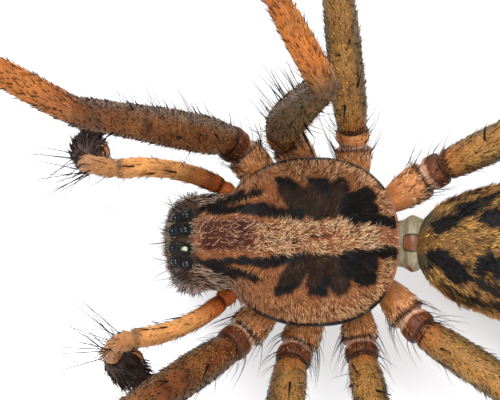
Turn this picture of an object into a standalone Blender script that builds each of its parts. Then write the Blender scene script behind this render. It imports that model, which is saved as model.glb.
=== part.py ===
"""A male house spider, life size, standing on all eight legs.

The animal faces -Y, its back is +Z and its right side is -X. Shapes are worked
out in millimetres about the middle of the thorax, with the floor at zero height,
and make_piece() turns them into metres. Every sub-part hangs on one empty, which
stand_on_floor() moves so that the origin is under the middle of the whole animal.
"""

import math

import bmesh
import bpy
from mathutils import Vector

MM = 0.001
UP = Vector((0.0, 0.0, 1.0))
SHARP_ANGLE = math.radians(40)
NEARLY_UPRIGHT = 0.05

# Clearances between neighbouring pieces
JOINT_GAP = 0.3
EYE_GAP = 0.06

# Carapace outline, seen from above: a round thorax run together with a long head
THORAX_HALF_WIDTH = 2.20
THORAX_FRONT = 2.45
THORAX_REAR = 2.20
THORAX_POWER = 2.3
HEAD_HALF_WIDTH = 1.21
HEAD_CENTRE = -2.60
HEAD_REACH = 1.24
HEAD_POWER = 3.0
OUTLINE_BLEND = 16

# Carapace heights: the rim, the ridge along the middle as (y, z), and the core below
RIM_TOP = 4.00
RIM_BOTTOM = 3.70
RIM_SLOPE = 0.10
RIDGE = [
    (-3.84, 4.25), (-3.64, 4.75), (-3.30, 5.17), (-2.70, 5.42), (-1.70, 5.38),
    (-0.80, 5.18), (-0.10, 5.08), (0.50, 5.12), (1.30, 4.90), (1.85, 4.52), (2.19, 4.12),
]
CAP_FRONT = -3.82
CAP_REAR = 2.18
CAP_SECTIONS = 32
CAP_SIDES = 20
DOME_POWER = 2.2
CORE_BOTTOM = 2.80
CORE_TOP = 4.10
CORE_OUTLINE = [
    (-2.10, 0.30), (-1.50, 0.34), (-1.05, 0.62), (-0.60, 0.90),
    (1.00, 0.90), (1.45, 0.72), (2.00, 0.36),
]

# Eyes in two rows of four: name, distance from the midline, y, radius
EYES = [
    ("ame", 0.22, -3.66, 0.125),
    ("ale", 0.55, -3.58, 0.120),
    ("pme", 0.25, -3.32, 0.125),
    ("ple", 0.62, -3.28, 0.120),
]
EYE_SUNK = 0.35
EYE_SEGMENTS = 10
EYE_RINGS = 6

# Sternum and labium: plates under the core, as (y, half width)
STERNUM_OUTLINE = [(-1.25, 0.40), (-0.95, 0.78), (-0.20, 1.00), (0.70, 0.85), (1.35, 0.48), (1.75, 0.14)]
STERNUM_TOP = 2.50
STERNUM_BOTTOM = 2.05
STERNUM_BULGE = 0.12
LABIUM_OUTLINE = [(-2.12, 0.16), (-2.00, 0.24), (-1.60, 0.27)]
LABIUM_TOP = 2.60
LABIUM_BOTTOM = 2.10
LABIUM_BULGE = 0.08

# Jaws: path points are (distance from the midline, y, z) with a radius each
CHELICERA = [
    ((0.72, -3.10, 3.42), 0.46), ((0.73, -3.12, 3.15), 0.55), ((0.73, -3.15, 2.75), 0.58),
    ((0.71, -3.12, 2.30), 0.53), ((0.69, -3.06, 1.95), 0.45), ((0.66, -3.02, 1.75), 0.36),
]
FANG = [
    ((0.72, -3.04, 1.45), 0.24), ((0.72, -2.99, 1.22), 0.20), ((0.63, -2.93, 1.00), 0.15),
    ((0.46, -2.88, 0.88), 0.10), ((0.28, -2.86, 0.86), 0.05),
]

# Waist, abdomen and spinnerets; the abdomen turns a few degrees to the left
PEDICEL = [
    ((0.0, 2.30, 3.20), 0.62), ((0.0, 2.54, 3.23), 0.74), ((0.0, 2.74, 3.26), 0.56), ((0.0, 2.92, 3.28), 0.42),
]
PEDICEL_FLATNESS = 0.62
ABDOMEN_FRONT = 2.62
ABDOMEN_REAR = 9.70
ABDOMEN_HALF_WIDTH = 1.89
ABDOMEN_HALF_HEIGHT = 1.66
ABDOMEN_MIDDLE_Z = 3.45
ABDOMEN_REAR_DROP = 0.55
ABDOMEN_YAW = math.radians(5.0)
ABDOMEN_WIDEST = 0.52
ABDOMEN_POWER = 2.2
ABDOMEN_END_INSET = 0.008
ABDOMEN_SECTIONS = 22
ABDOMEN_SIDES = 24
WAIST_SOCKET_RADIUS = 0.78
WAIST_SOCKET_FLATNESS = 0.74
WAIST_SOCKET_DEPTH = 3.20
WAIST_SIDES = 14
SPINNERET_BASE = (9.64, 2.76, 0.52)
SPINNERET_BASE_PATH = [(0.0, 1.0), (0.18, 1.0), (0.42, 0.7)]
SPINNERET_ROOT = 0.12
SPINNERET_SPREAD = 0.16
SPINNERET_TAPER = [(0.0, 1.0), (0.5, 0.85), (1.0, 0.45)]
SPINNERETS = [
    # distance from the midline, height above the base's middle, length, radius, lift
    (0.30, 0.10, 1.25, 0.17, 12.0),
    (0.14, 0.02, 0.60, 0.12, 0.0),
    (0.30, -0.18, 0.80, 0.20, -14.0),
]

# Walking legs: sizes that both legs of a pair share. hip is where the coxa starts,
# on the left side; a girth is the radius relative to the first pair's.
PAIRS = {
    1: dict(hip=(1.28, -0.90), trochanter=0.62, femur=8.10, patella=2.50,
            tibia=8.00, metatarsus=8.60, tarsus=3.40, girth=1.00),
    2: dict(hip=(1.42, 0.08), trochanter=0.58, femur=7.80, patella=2.40,
            tibia=7.00, metatarsus=8.00, tarsus=3.00, girth=1.00),
    3: dict(hip=(1.36, 1.06), trochanter=0.55, femur=7.00, patella=2.20,
            tibia=6.00, metatarsus=7.60, tarsus=2.60, girth=0.94),
    4: dict(hip=(0.98, 1.76), trochanter=0.58, femur=8.20, patella=2.30,
            tibia=7.40, metatarsus=9.60, tarsus=3.00, girth=0.98),
}
HIP_HEIGHT = 2.78
COXA_LIFT = 4.0

# Pose of each leg. A turn is measured from straight ahead towards the leg's own
# side, a lift from level; both in degrees. The coxa has its turn and the length that
# stands out of the thorax. The shin and foot find their own lift.
POSES = {
    "leg1_right": dict(side=-1, pair=1, coxa=(49, 1.51), femur=(1, 63), shin=28),
    "leg1_left": dict(side=1, pair=1, coxa=(48, 1.42), femur=(36, 46), shin=34),
    "leg2_right": dict(side=-1, pair=2, coxa=(58, 1.42), femur=(159, 82), shin=60),
    "leg2_left": dict(side=1, pair=2, coxa=(67, 1.34), femur=(81, 50), shin=66),
    "leg3_right": dict(side=-1, pair=3, coxa=(88, 1.20), femur=(82, 48), shin=92),
    "leg3_left": dict(side=1, pair=3, coxa=(96, 1.20), femur=(100, 48), shin=108),
    "leg4_right": dict(side=-1, pair=4, coxa=(146, 1.38), femur=(156, 20), shin=157),
    "leg4_left": dict(side=1, pair=4, coxa=(127, 1.14), femur=(145, 23), shin=150),
}
TROCHANTER_TURN = 0.9
PATELLA_SHARE = 0.40
BOW_BENDS = (1.0, 0.33, -0.33, -1.0)
FEMUR_BOW = 3.0
METATARSUS_DROP = 7.0
TARSUS_DROP = 14.0

# Leg radii as (share of the length, radius)
COXA_RADII = [(0.0, 0.26), (0.18, 0.40), (0.42, 0.50), (0.62, 0.53), (0.70, 0.46), (0.84, 0.49), (1.0, 0.46)]
FEMUR_RADII = [(0.0, 0.42), (0.10, 0.48), (0.28, 0.50), (0.50, 0.48), (0.70, 0.44), (0.90, 0.41), (1.0, 0.40)]
TIBIA_RADII = [
    (0.0, 0.37), (0.07, 0.38), (0.16, 0.37), (0.22, 0.34), (0.26, 0.31), (0.32, 0.33),
    (0.50, 0.33), (0.75, 0.31), (0.94, 0.29), (1.0, 0.28),
]
FOOT_RADII = [
    (0.0, 0.28), (0.10, 0.28), (0.40, 0.27), (0.66, 0.26), (0.715, 0.25), (0.75, 0.25),
    (0.87, 0.25), (0.93, 0.24), (1.0, 0.20),
]
LEG_SIDES = 12

# Palps, the two short feelers beside the head, pose as for the legs
PALP_BASE = (1.50, -2.40, 3.05)
PALP_ROOT = (0.66, -1.74, 2.74)
PALP_POSES = {
    "palp_right": dict(side=-1, femur=(8, 18), patella=(12, -28), tibia=(24, -72), club=(98, -55)),
    "palp_left": dict(side=1, femur=(24, 30), patella=(18, -44), tibia=(60, -72), club=(142, -38)),
}
PALP_FEMUR_BOW = 14.0
PALP_FEMUR = 2.95
PALP_PATELLA = 0.64
PALP_TIBIA = 0.92
PALP_CLUB = 1.55
PALP_BULB_PLACE = 0.40
PALP_BULB_RADIUS = 0.33
PALP_BULB_OFFSET = 0.26
PALP_COXA_RADII = [(0.0, 0.24), (0.35, 0.28), (0.75, 0.28), (1.0, 0.26)]
PALP_FEMUR_RADII = [(0.0, 0.25), (0.14, 0.26), (0.50, 0.26), (0.80, 0.28), (0.93, 0.28), (1.0, 0.27)]
PALP_SHIN_RADII = [
    (0.0, 0.26), (0.16, 0.28), (0.30, 0.27), (0.44, 0.25), (0.62, 0.27), (0.86, 0.28), (1.0, 0.27),
]
PALP_CLUB_RADII = [
    (0.0, 0.26), (0.15, 0.40), (0.35, 0.47), (0.55, 0.42), (0.75, 0.29), (0.90, 0.19), (1.0, 0.12),
]
PALP_SIDES = 10
MAXILLA = [
    ((0.72, -1.66, 2.62), 0.24), ((0.66, -1.90, 2.58), 0.28),
    ((0.60, -2.10, 2.54), 0.25), ((0.56, -2.22, 2.52), 0.16),
]

# Colour, roughness and metallic of each finish
FINISHES = {
    "carapace_brown": ((0.33, 0.19, 0.12, 1.0), 0.55, 0.0),
    "leg_orange": ((0.48, 0.25, 0.10, 1.0), 0.50, 0.0),
    "leg_dark": ((0.30, 0.13, 0.06, 1.0), 0.50, 0.0),
    "abdomen_tan": ((0.42, 0.30, 0.13, 1.0), 0.75, 0.0),
    "jaw_brown": ((0.20, 0.12, 0.08, 1.0), 0.40, 0.0),
    "waist_grey": ((0.40, 0.40, 0.30, 1.0), 0.45, 0.0),
    "club_dark": ((0.06, 0.05, 0.05, 1.0), 0.60, 0.0),
    "eye_black": ((0.01, 0.01, 0.01, 1.0), 0.08, 0.0),
}


def clear_scene():
    for thing in list(bpy.data.objects):
        bpy.data.objects.remove(thing, do_unlink=True)


def finish(name):
    """The material of a finish, made the first time that it is asked for."""
    material = bpy.data.materials.get(name)
    if material is None:
        colour, roughness, metallic = FINISHES[name]
        material = bpy.data.materials.new(name)
        material.use_nodes = True
        shader = material.node_tree.nodes["Principled BSDF"]
        shader.inputs["Base Color"].default_value = colour
        shader.inputs["Roughness"].default_value = roughness
        shader.inputs["Metallic"].default_value = metallic
    return material


def value_at(pairs, place):
    """The value at a place, on a smooth curve through (place, value) pairs."""
    if place <= pairs[0][0]:
        return pairs[0][1]
    if place >= pairs[-1][0]:
        return pairs[-1][1]
    steps = [(b[1] - a[1]) / (b[0] - a[0]) for a, b in zip(pairs, pairs[1:])]
    inner = [0.5 * (a + b) if a * b > 0 else 0.0 for a, b in zip(steps, steps[1:])]
    slopes = [steps[0]] + inner + [steps[-1]]
    i = max(k for k in range(len(steps)) if pairs[k][0] <= place)
    span = pairs[i + 1][0] - pairs[i][0]
    t = (place - pairs[i][0]) / span
    start = (1 + 2 * t) * (1 - t) ** 2 * pairs[i][1] + t * (1 - t) ** 2 * span * slopes[i]
    end = t * t * (3 - 2 * t) * pairs[i + 1][1] + t * t * (t - 1) * span * slopes[i + 1]
    return start + end


def spaced(first, last, count):
    """Places from first to last, closer together towards both ends."""
    return [first + (last - first) * 0.5 * (1 - math.cos(math.pi * i / (count - 1))) for i in range(count)]


def make_piece(name, mesh, root, finish_name, spider):
    """Turn a closed bmesh in millimetres into a named object with its origin at root."""
    bmesh.ops.recalc_face_normals(mesh, faces=mesh.faces)
    for vertex in mesh.verts:
        vertex.co = (vertex.co - root) * MM
    data = bpy.data.meshes.new(name)
    mesh.to_mesh(data)
    mesh.free()
    data.shade_smooth()
    data.set_sharp_from_angle(angle=SHARP_ANGLE)
    data.materials.append(finish(finish_name))
    piece = bpy.data.objects.new(name, data)
    piece.location = root * MM
    piece.parent = spider
    bpy.context.scene.collection.objects.link(piece)
    return piece


def combine(piece, others, operation):
    """Join other objects to a piece, or cut them from it, and remove them."""
    group = bpy.data.collections.new(piece.name + "_others")
    bpy.context.scene.collection.children.link(group)
    for other in others:
        bpy.context.scene.collection.objects.unlink(other)
        group.objects.link(other)
    modifier = piece.modifiers.new("Combine", "BOOLEAN")
    modifier.operand_type = "COLLECTION"
    modifier.collection = group
    modifier.operation = operation
    bpy.context.view_layer.update()
    seen = piece.evaluated_get(bpy.context.evaluated_depsgraph_get())
    joined = bpy.data.meshes.new_from_object(seen)
    piece.modifiers.clear()
    piece.data = joined
    for other in others:
        bpy.data.objects.remove(other, do_unlink=True)
    bpy.data.collections.remove(group)
    keep_largest(piece)


def keep_largest(piece):
    """Keep only the connected surface with the largest box."""
    mesh = bmesh.new()
    mesh.from_mesh(piece.data)
    left = set(mesh.verts)
    shells = []
    while left:
        shell = set()
        waiting = [left.pop()]
        while waiting:
            vertex = waiting.pop()
            shell.add(vertex)
            near = {edge.other_vert(vertex) for edge in vertex.link_edges} & left
            left -= near
            waiting.extend(near)
        shells.append(shell)

    def reach(shell):
        return sum(max(v.co[k] for v in shell) - min(v.co[k] for v in shell) for k in range(3))

    shells.sort(key=reach)
    for shell in shells[:-1]:
        bmesh.ops.delete(mesh, geom=list(shell), context="VERTS")
    mesh.to_mesh(piece.data)
    mesh.free()


def loft(rings):
    """A closed body through rings of equal length, with flat ends."""
    mesh = bmesh.new()
    rows = [[mesh.verts.new(point) for point in ring] for ring in rings]
    count = len(rows[0])
    for row, following in zip(rows, rows[1:]):
        for i in range(count):
            j = (i + 1) % count
            mesh.faces.new((row[i], row[j], following[j], following[i]))
    mesh.faces.new(list(reversed(rows[0])))
    mesh.faces.new(rows[-1])
    return mesh


def slide(ring, way, plane):
    """Slide each point of a ring along a direction on to a plane (point, normal)."""
    place, normal = plane
    return [point + way * ((place - point).dot(normal) / way.dot(normal)) for point in ring]


def tube(path, radii, sides, first_plane=None, last_plane=None, flatness=1.0):
    """A closed tube along a path, its ends square or slid on to the planes given."""
    ways = [(b - a).normalized() for a, b in zip(path, path[1:])]
    tangents = [ways[0]] + [(a + b).normalized() for a, b in zip(ways, ways[1:])] + [ways[-1]]
    across = tangents[0].cross(UP)
    if across.length < NEARLY_UPRIGHT:
        across = tangents[0].cross(Vector((0.0, 1.0, 0.0)))
    rings = []
    for point, tangent, radius in zip(path, tangents, radii):
        across = (across - tangent * across.dot(tangent)).normalized()
        over = across.cross(tangent) * flatness
        angles = [math.tau * i / sides for i in range(sides)]
        rings.append([point + radius * (math.cos(a) * across + math.sin(a) * over) for a in angles])
    if first_plane:
        rings[0] = slide(rings[0], tangents[0], first_plane)
    if last_plane:
        rings[-1] = slide(rings[-1], tangents[-1], last_plane)
    return loft(rings)


def on_side(place, side):
    """A point given as (distance from the midline, y, z), put on one side."""
    return Vector((place[0] * side, place[1], place[2]))


def tube_through(places, side, sides):
    """A tube through ((distance from the midline, y, z), radius) pairs, on one side."""
    return tube([on_side(place, side) for place, _ in places], [radius for _, radius in places], sides)


def direction(side, turn, lift):
    """Unit vector turned from straight ahead towards a side, and lifted from level."""
    turn = math.radians(turn)
    lift = math.radians(lift)
    return Vector((side * math.sin(turn) * math.cos(lift), -math.cos(turn) * math.cos(lift), math.sin(lift)))


def walk(start, parts, share):
    """The point at a share of the length of a chain of (direction, length) parts."""
    left = share * sum(length for _, length in parts)
    point = start.copy()
    for way, length in parts:
        step = min(left, length)
        point += way * step
        left -= step
    return point


def bowed(side, turn, lift, length, turn_bow=0.0, lift_bow=0.0):
    """A bent length as four straight parts, turning evenly from one bow to the other."""
    part = length / len(BOW_BENDS)
    return [(direction(side, turn + bend * turn_bow, lift + bend * lift_bow), part) for bend in BOW_BENDS]


def chain_tube(start, parts, profile, sides, girth=1.0, first_plane=None, last_plane=None):
    """A tube along a chain of straight parts, its radii read from a profile."""
    path = [walk(start, parts, share) for share, _ in profile]
    return tube(path, [radius * girth for _, radius in profile], sides, first_plane, last_plane)


def mitre(point, way_in, way_out, offset):
    """The plane that halves a bend, moved along its normal by an offset."""
    normal = (way_in + way_out).normalized()
    return point + normal * offset, normal


def roundness(share, power):
    """Height of a rounded outline of width 1 at a share of its reach."""
    return max(0.0, 1 - abs(share) ** power) ** (1 / power)


def carapace_half_width(y):
    """Half width of the carapace outline at y."""
    reach = THORAX_FRONT if y < 0 else THORAX_REAR
    thorax = THORAX_HALF_WIDTH * roundness(y / reach, THORAX_POWER)
    head = HEAD_HALF_WIDTH * roundness((y - HEAD_CENTRE) / HEAD_REACH, HEAD_POWER)
    return (thorax ** OUTLINE_BLEND + head ** OUTLINE_BLEND) ** (1 / OUTLINE_BLEND)


def carapace_height(x, y):
    """Height of the carapace's upper surface at a place."""
    share = min(1.0, abs(x) / carapace_half_width(y))
    return RIM_TOP + (value_at(RIDGE, y) - RIM_TOP) * (1 - share ** DOME_POWER) ** (1 / DOME_POWER)


def carapace_cap():
    """The domed shield with its overhanging rim."""
    rings = []
    for y in spaced(CAP_FRONT, CAP_REAR, CAP_SECTIONS):
        half = carapace_half_width(y)
        rise = value_at(RIDGE, y) - RIM_TOP
        ring = []
        for i in range(CAP_SIDES + 1):
            angle = math.pi * i / CAP_SIDES
            x = half * math.copysign(abs(math.cos(angle)) ** (2 / DOME_POWER), math.cos(angle))
            z = RIM_TOP + rise * math.sin(angle) ** (2 / DOME_POWER)
            ring.append(Vector((x, y, z)))
        under = max(half - RIM_SLOPE, 0.5 * half)
        ring += [Vector((x * under, y, RIM_BOTTOM)) for x in (-1.0, -0.5, 0.5, 1.0)]
        rings.append(ring)
    return loft(rings)


def plate(outline, bottom, top, bulge=0.0):
    """A flat plate from (y, half width) pairs, its underside bulging down."""
    rings = []
    for i, (y, half) in enumerate(outline):
        inner = 0 < i < len(outline) - 1
        low = bottom if inner else bottom + bulge
        rings.append([
            Vector((half, y, top)), Vector((-half, y, top)), Vector((-half, y, bottom + bulge)),
            Vector((-0.5 * half, y, low)), Vector((0.5 * half, y, low)), Vector((half, y, bottom + bulge)),
        ])
    return loft(rings)


def ball(centre, radius):
    """A small closed sphere."""
    mesh = bmesh.new()
    bmesh.ops.create_uvsphere(mesh, u_segments=EYE_SEGMENTS, v_segments=EYE_RINGS, radius=radius)
    for vertex in mesh.verts:
        vertex.co += centre
    return mesh


def eye_centre(across, y, radius, side):
    """An eye's middle, sunk below the carapace by a share of its radius."""
    return Vector((across * side, y, carapace_height(across, y) - EYE_SUNK * radius))


def build_carapace(spider):
    centre = Vector((0.0, 0.0, RIM_TOP))
    cap = make_piece("carapace", carapace_cap(), centre, "carapace_brown", spider)
    core = make_piece("core", plate(CORE_OUTLINE, CORE_BOTTOM, CORE_TOP), centre, "carapace_brown", spider)
    combine(cap, [core], "UNION")
    sockets = []
    for _, across, y, radius in EYES:
        for side in (-1, 1):
            place = eye_centre(across, y, radius, side)
            hollow = ball(place, radius + EYE_GAP)
            sockets.append(make_piece("socket", hollow, place, "carapace_brown", spider))
    combine(cap, sockets, "DIFFERENCE")


def build_eyes(spider):
    for name, across, y, radius in EYES:
        for side, word in ((-1, "right"), (1, "left")):
            place = eye_centre(across, y, radius, side)
            make_piece(f"eye_{name}_{word}", ball(place, radius), place, "eye_black", spider)


def build_underside(spider):
    centre = Vector((0.0, 0.0, STERNUM_TOP))
    sternum = plate(STERNUM_OUTLINE, STERNUM_BOTTOM, STERNUM_TOP, bulge=STERNUM_BULGE)
    make_piece("sternum", sternum, centre, "jaw_brown", spider)
    centre = Vector((0.0, LABIUM_OUTLINE[-1][0], LABIUM_TOP))
    labium = plate(LABIUM_OUTLINE, LABIUM_BOTTOM, LABIUM_TOP, bulge=LABIUM_BULGE)
    make_piece("labium", labium, centre, "jaw_brown", spider)


def build_jaws(spider):
    for side, word in ((-1, "right"), (1, "left")):
        root = on_side(CHELICERA[0][0], side)
        make_piece(f"chelicera_{word}", tube_through(CHELICERA, side, 14), root, "jaw_brown", spider)
        root = on_side(FANG[0][0], side)
        make_piece(f"fang_{word}", tube_through(FANG, side, 8), root, "jaw_brown", spider)


def abdomen_frame(across, y, z):
    """A point of the straight abdomen, turned about its front end."""
    back = y - ABDOMEN_FRONT
    return Vector((
        across * math.cos(ABDOMEN_YAW) + back * math.sin(ABDOMEN_YAW),
        ABDOMEN_FRONT + back * math.cos(ABDOMEN_YAW) - across * math.sin(ABDOMEN_YAW),
        z,
    ))


def abdomen_body():
    """The egg-shaped abdomen, widest behind its middle and drooping at the rear."""
    length = ABDOMEN_REAR - ABDOMEN_FRONT
    widest = ABDOMEN_FRONT + ABDOMEN_WIDEST * length
    inset = ABDOMEN_END_INSET * length
    rings = []
    for y in spaced(ABDOMEN_FRONT + inset, ABDOMEN_REAR - inset, ABDOMEN_SECTIONS):
        reach = widest - ABDOMEN_FRONT if y < widest else ABDOMEN_REAR - widest
        share = roundness((y - widest) / reach, ABDOMEN_POWER)
        back = (y - ABDOMEN_FRONT) / length
        middle = ABDOMEN_MIDDLE_Z - ABDOMEN_REAR_DROP * back * back
        ring = []
        for i in range(ABDOMEN_SIDES):
            angle = math.tau * i / ABDOMEN_SIDES
            across = ABDOMEN_HALF_WIDTH * share * math.cos(angle)
            ring.append(abdomen_frame(across, y, middle + ABDOMEN_HALF_HEIGHT * share * math.sin(angle)))
        rings.append(ring)
    return loft(rings)


def build_abdomen(spider):
    root = Vector((0.0, ABDOMEN_FRONT, ABDOMEN_MIDDLE_Z))
    abdomen = make_piece("abdomen", abdomen_body(), root, "abdomen_tan", spider)
    start = Vector((0.0, ABDOMEN_FRONT - 1.0, PEDICEL[-1][0][2]))
    end = Vector((0.0, WAIST_SOCKET_DEPTH, PEDICEL[-1][0][2]))
    hole = tube([start, end], [WAIST_SOCKET_RADIUS] * 2, WAIST_SIDES, flatness=WAIST_SOCKET_FLATNESS)
    combine(abdomen, [make_piece("waist_socket", hole, root, "abdomen_tan", spider)], "DIFFERENCE")
    stalk = tube(
        [Vector(place) for place, _ in PEDICEL], [radius for _, radius in PEDICEL],
        WAIST_SIDES, flatness=PEDICEL_FLATNESS)
    make_piece("pedicel", stalk, Vector(PEDICEL[0][0]), "waist_grey", spider)


def build_spinnerets(spider):
    y, z, radius = SPINNERET_BASE
    root = abdomen_frame(0.0, y, z)
    back = abdomen_frame(0.0, y + 1.0, z) - root
    right = abdomen_frame(1.0, y, z) - root
    start = root + back * JOINT_GAP
    base_path = [start + back * place for place, _ in SPINNERET_BASE_PATH]
    stump = tube(base_path, [radius * share for _, share in SPINNERET_BASE_PATH], 12)
    base = make_piece("spinnerets", stump, root, "jaw_brown", spider)
    cones = []
    for across, above, length, thick, lift in SPINNERETS:
        for side in (-1, 1):
            rise = UP * math.tan(math.radians(lift))
            way = (back + rise + right * side * SPINNERET_SPREAD).normalized()
            foot = start + right * across * side + UP * above + back * SPINNERET_ROOT
            path = [foot + way * length * share for share, _ in SPINNERET_TAPER]
            cone = tube(path, [thick * share for _, share in SPINNERET_TAPER], 8)
            cones.append(make_piece("cone", cone, root, "jaw_brown", spider))
    combine(base, cones, "UNION")


def settle(leg, pair, knee):
    """Directions of patella, tibia, metatarsus and tarsus that bring the tip to the floor."""
    low, high = -80.0, 40.0
    for _ in range(60):
        shin = 0.5 * (low + high)
        lifts = [
            shin + PATELLA_SHARE * (leg["femur"][1] - shin), shin,
            shin - METATARSUS_DROP, shin - TARSUS_DROP,
        ]
        lengths = [pair["patella"], pair["tibia"], pair["metatarsus"], pair["tarsus"]]
        tip = knee.z + sum(size * math.sin(math.radians(lift)) for size, lift in zip(lengths, lifts))
        if tip > 0:
            high = shin
        else:
            low = shin
    return [(direction(leg["side"], leg["shin"], lift), size) for lift, size in zip(lifts, lengths)]


def build_leg(name, spider):
    leg = POSES[name]
    pair = PAIRS[leg["pair"]]
    side = leg["side"]
    girth = pair["girth"]
    coxa_turn, coxa_length = leg["coxa"]
    coxa_way = direction(side, coxa_turn, COXA_LIFT)
    femur_parts = bowed(side, *leg["femur"], pair["femur"], lift_bow=FEMUR_BOW)
    rise_way, femur_way = femur_parts[0][0], femur_parts[-1][0]
    ring_way = (coxa_way + rise_way * TROCHANTER_TURN).normalized()
    hip = on_side((*pair["hip"], HIP_HEIGHT), side)
    upper = [(coxa_way, coxa_length), (ring_way, pair["trochanter"])]
    root = walk(hip, upper, 1.0)
    knee = walk(root, femur_parts, 1.0)
    patella, tibia, metatarsus, tarsus = settle(leg, pair, knee)
    ankle = walk(knee, [patella, tibia], 1.0)

    half = 0.5 * JOINT_GAP
    floor = (Vector((0.0, 0.0, 0.0)), UP)
    coxa = chain_tube(hip, upper, COXA_RADII, LEG_SIDES, girth, None, mitre(root, ring_way, rise_way, -half))
    femur = chain_tube(
        root, femur_parts, FEMUR_RADII, LEG_SIDES, girth,
        mitre(root, ring_way, rise_way, half), mitre(knee, femur_way, patella[0], -half))
    shin = chain_tube(
        knee, [patella, tibia], TIBIA_RADII, LEG_SIDES, girth,
        mitre(knee, femur_way, patella[0], half), mitre(ankle, tibia[0], metatarsus[0], -half))
    foot = chain_tube(
        ankle, [metatarsus, tarsus], FOOT_RADII, LEG_SIDES, 1.0,
        mitre(ankle, tibia[0], metatarsus[0], half), floor)
    dark = "leg_dark" if leg["pair"] == 1 else "leg_orange"
    make_piece(f"{name}_coxa", coxa, hip, "leg_orange", spider)
    make_piece(f"{name}_femur", femur, root, dark, spider)
    make_piece(f"{name}_tibia", shin, knee, "leg_orange", spider)
    make_piece(f"{name}_foot", foot, ankle, "leg_orange", spider)


def build_palp(name, spider):
    palp = PALP_POSES[name]
    side = palp["side"]
    base = on_side(PALP_BASE, side)
    start = on_side(PALP_ROOT, side)
    root_way = (base - start).normalized()
    femur_parts = bowed(side, *palp["femur"], PALP_FEMUR, turn_bow=PALP_FEMUR_BOW)
    rise_way, femur_way = femur_parts[0][0], femur_parts[-1][0]
    patella_way = direction(side, *palp["patella"])
    tibia_way = direction(side, *palp["tibia"])
    club_way = direction(side, *palp["club"])
    knee = walk(base, femur_parts, 1.0)
    shin_parts = [(patella_way, PALP_PATELLA), (tibia_way, PALP_TIBIA)]
    wrist = walk(knee, shin_parts, 1.0)

    half = 0.5 * JOINT_GAP
    coxa = chain_tube(
        start, [(root_way, (base - start).length)], PALP_COXA_RADII, PALP_SIDES, 1.0,
        None, mitre(base, root_way, rise_way, -half))
    femur = chain_tube(
        base, femur_parts, PALP_FEMUR_RADII, PALP_SIDES, 1.0,
        mitre(base, root_way, rise_way, half), mitre(knee, femur_way, patella_way, -half))
    shin = chain_tube(
        knee, shin_parts, PALP_SHIN_RADII, PALP_SIDES, 1.0,
        mitre(knee, femur_way, patella_way, half), mitre(wrist, tibia_way, club_way, -half))
    club = chain_tube(
        wrist, [(club_way, PALP_CLUB)], PALP_CLUB_RADII, PALP_SIDES, 1.0,
        mitre(wrist, tibia_way, club_way, half), None)
    hold = make_piece(f"{name}_coxa", coxa, start, "leg_orange", spider)
    lobe = make_piece("lobe", tube_through(MAXILLA, side, PALP_SIDES), start, "leg_orange", spider)
    combine(hold, [lobe], "UNION")
    make_piece(f"{name}_femur", femur, base, "leg_orange", spider)
    make_piece(f"{name}_tibia", shin, knee, "leg_orange", spider)
    tip = make_piece(f"{name}_club", club, wrist, "club_dark", spider)
    below = (club_way * club_way.dot(femur_way) - femur_way).normalized()
    middle = wrist + club_way * PALP_BULB_PLACE * PALP_CLUB + below * PALP_BULB_OFFSET
    bulb = make_piece("bulb", ball(middle, PALP_BULB_RADIUS), wrist, "club_dark", spider)
    combine(tip, [bulb], "UNION")


def stand_on_floor(spider):
    """Move the empty so that the origin is under the middle of the animal's box."""
    bpy.context.view_layer.update()
    places = [thing.matrix_world @ v.co for thing in spider.children for v in thing.data.vertices]
    low = [min(place[k] for place in places) for k in range(3)]
    high = [max(place[k] for place in places) for k in range(3)]
    spider.location -= Vector((0.5 * (low[0] + high[0]), 0.5 * (low[1] + high[1]), low[2]))


def build():
    clear_scene()
    spider = bpy.data.objects.new("spider", None)
    bpy.context.scene.collection.objects.link(spider)
    build_carapace(spider)
    build_eyes(spider)
    build_underside(spider)
    build_jaws(spider)
    build_abdomen(spider)
    build_spinnerets(spider)
    for name in PALP_POSES:
        build_palp(name, spider)
    for name in POSES:
        build_leg(name, spider)
    stand_on_floor(spider)


build()
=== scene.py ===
import math

import bmesh
import bpy
import numpy as np
from mathutils import Matrix, Vector


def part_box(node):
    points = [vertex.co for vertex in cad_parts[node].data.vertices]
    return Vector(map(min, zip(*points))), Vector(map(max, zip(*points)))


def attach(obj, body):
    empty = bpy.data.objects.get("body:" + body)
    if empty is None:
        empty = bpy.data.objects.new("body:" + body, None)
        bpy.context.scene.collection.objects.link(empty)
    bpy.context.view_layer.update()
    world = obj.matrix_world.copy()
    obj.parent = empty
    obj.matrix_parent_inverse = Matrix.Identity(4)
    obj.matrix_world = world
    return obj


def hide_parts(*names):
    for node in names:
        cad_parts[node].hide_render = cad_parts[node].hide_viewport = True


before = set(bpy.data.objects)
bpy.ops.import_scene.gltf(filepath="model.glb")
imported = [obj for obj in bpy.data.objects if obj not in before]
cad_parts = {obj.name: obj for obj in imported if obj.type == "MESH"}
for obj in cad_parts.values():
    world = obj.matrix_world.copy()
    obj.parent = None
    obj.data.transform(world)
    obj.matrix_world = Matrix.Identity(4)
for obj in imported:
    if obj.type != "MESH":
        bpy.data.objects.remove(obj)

# The place of the animal
# It is worked out in millimetres about the middle of its thorax, with the floor at
# zero height. It faces -Y, its back is +Z and its right side is -X.
MM = 0.001
UP = np.array((0.0, 0.0, 1.0))
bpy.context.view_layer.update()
CARAPACE_FRONT = -3.82
carapace_low, carapace_high = np.array(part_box("carapace"), dtype=float)
THORAX = np.array((
    0.5 * (carapace_low[0] + carapace_high[0]),
    carapace_low[1] - CARAPACE_FRONT * MM,
    0.0,
))


def in_row(points):
    """Millimetres about the thorax as metres in the row's frame."""
    return np.asarray(points, dtype=float) * MM + THORAX


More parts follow.
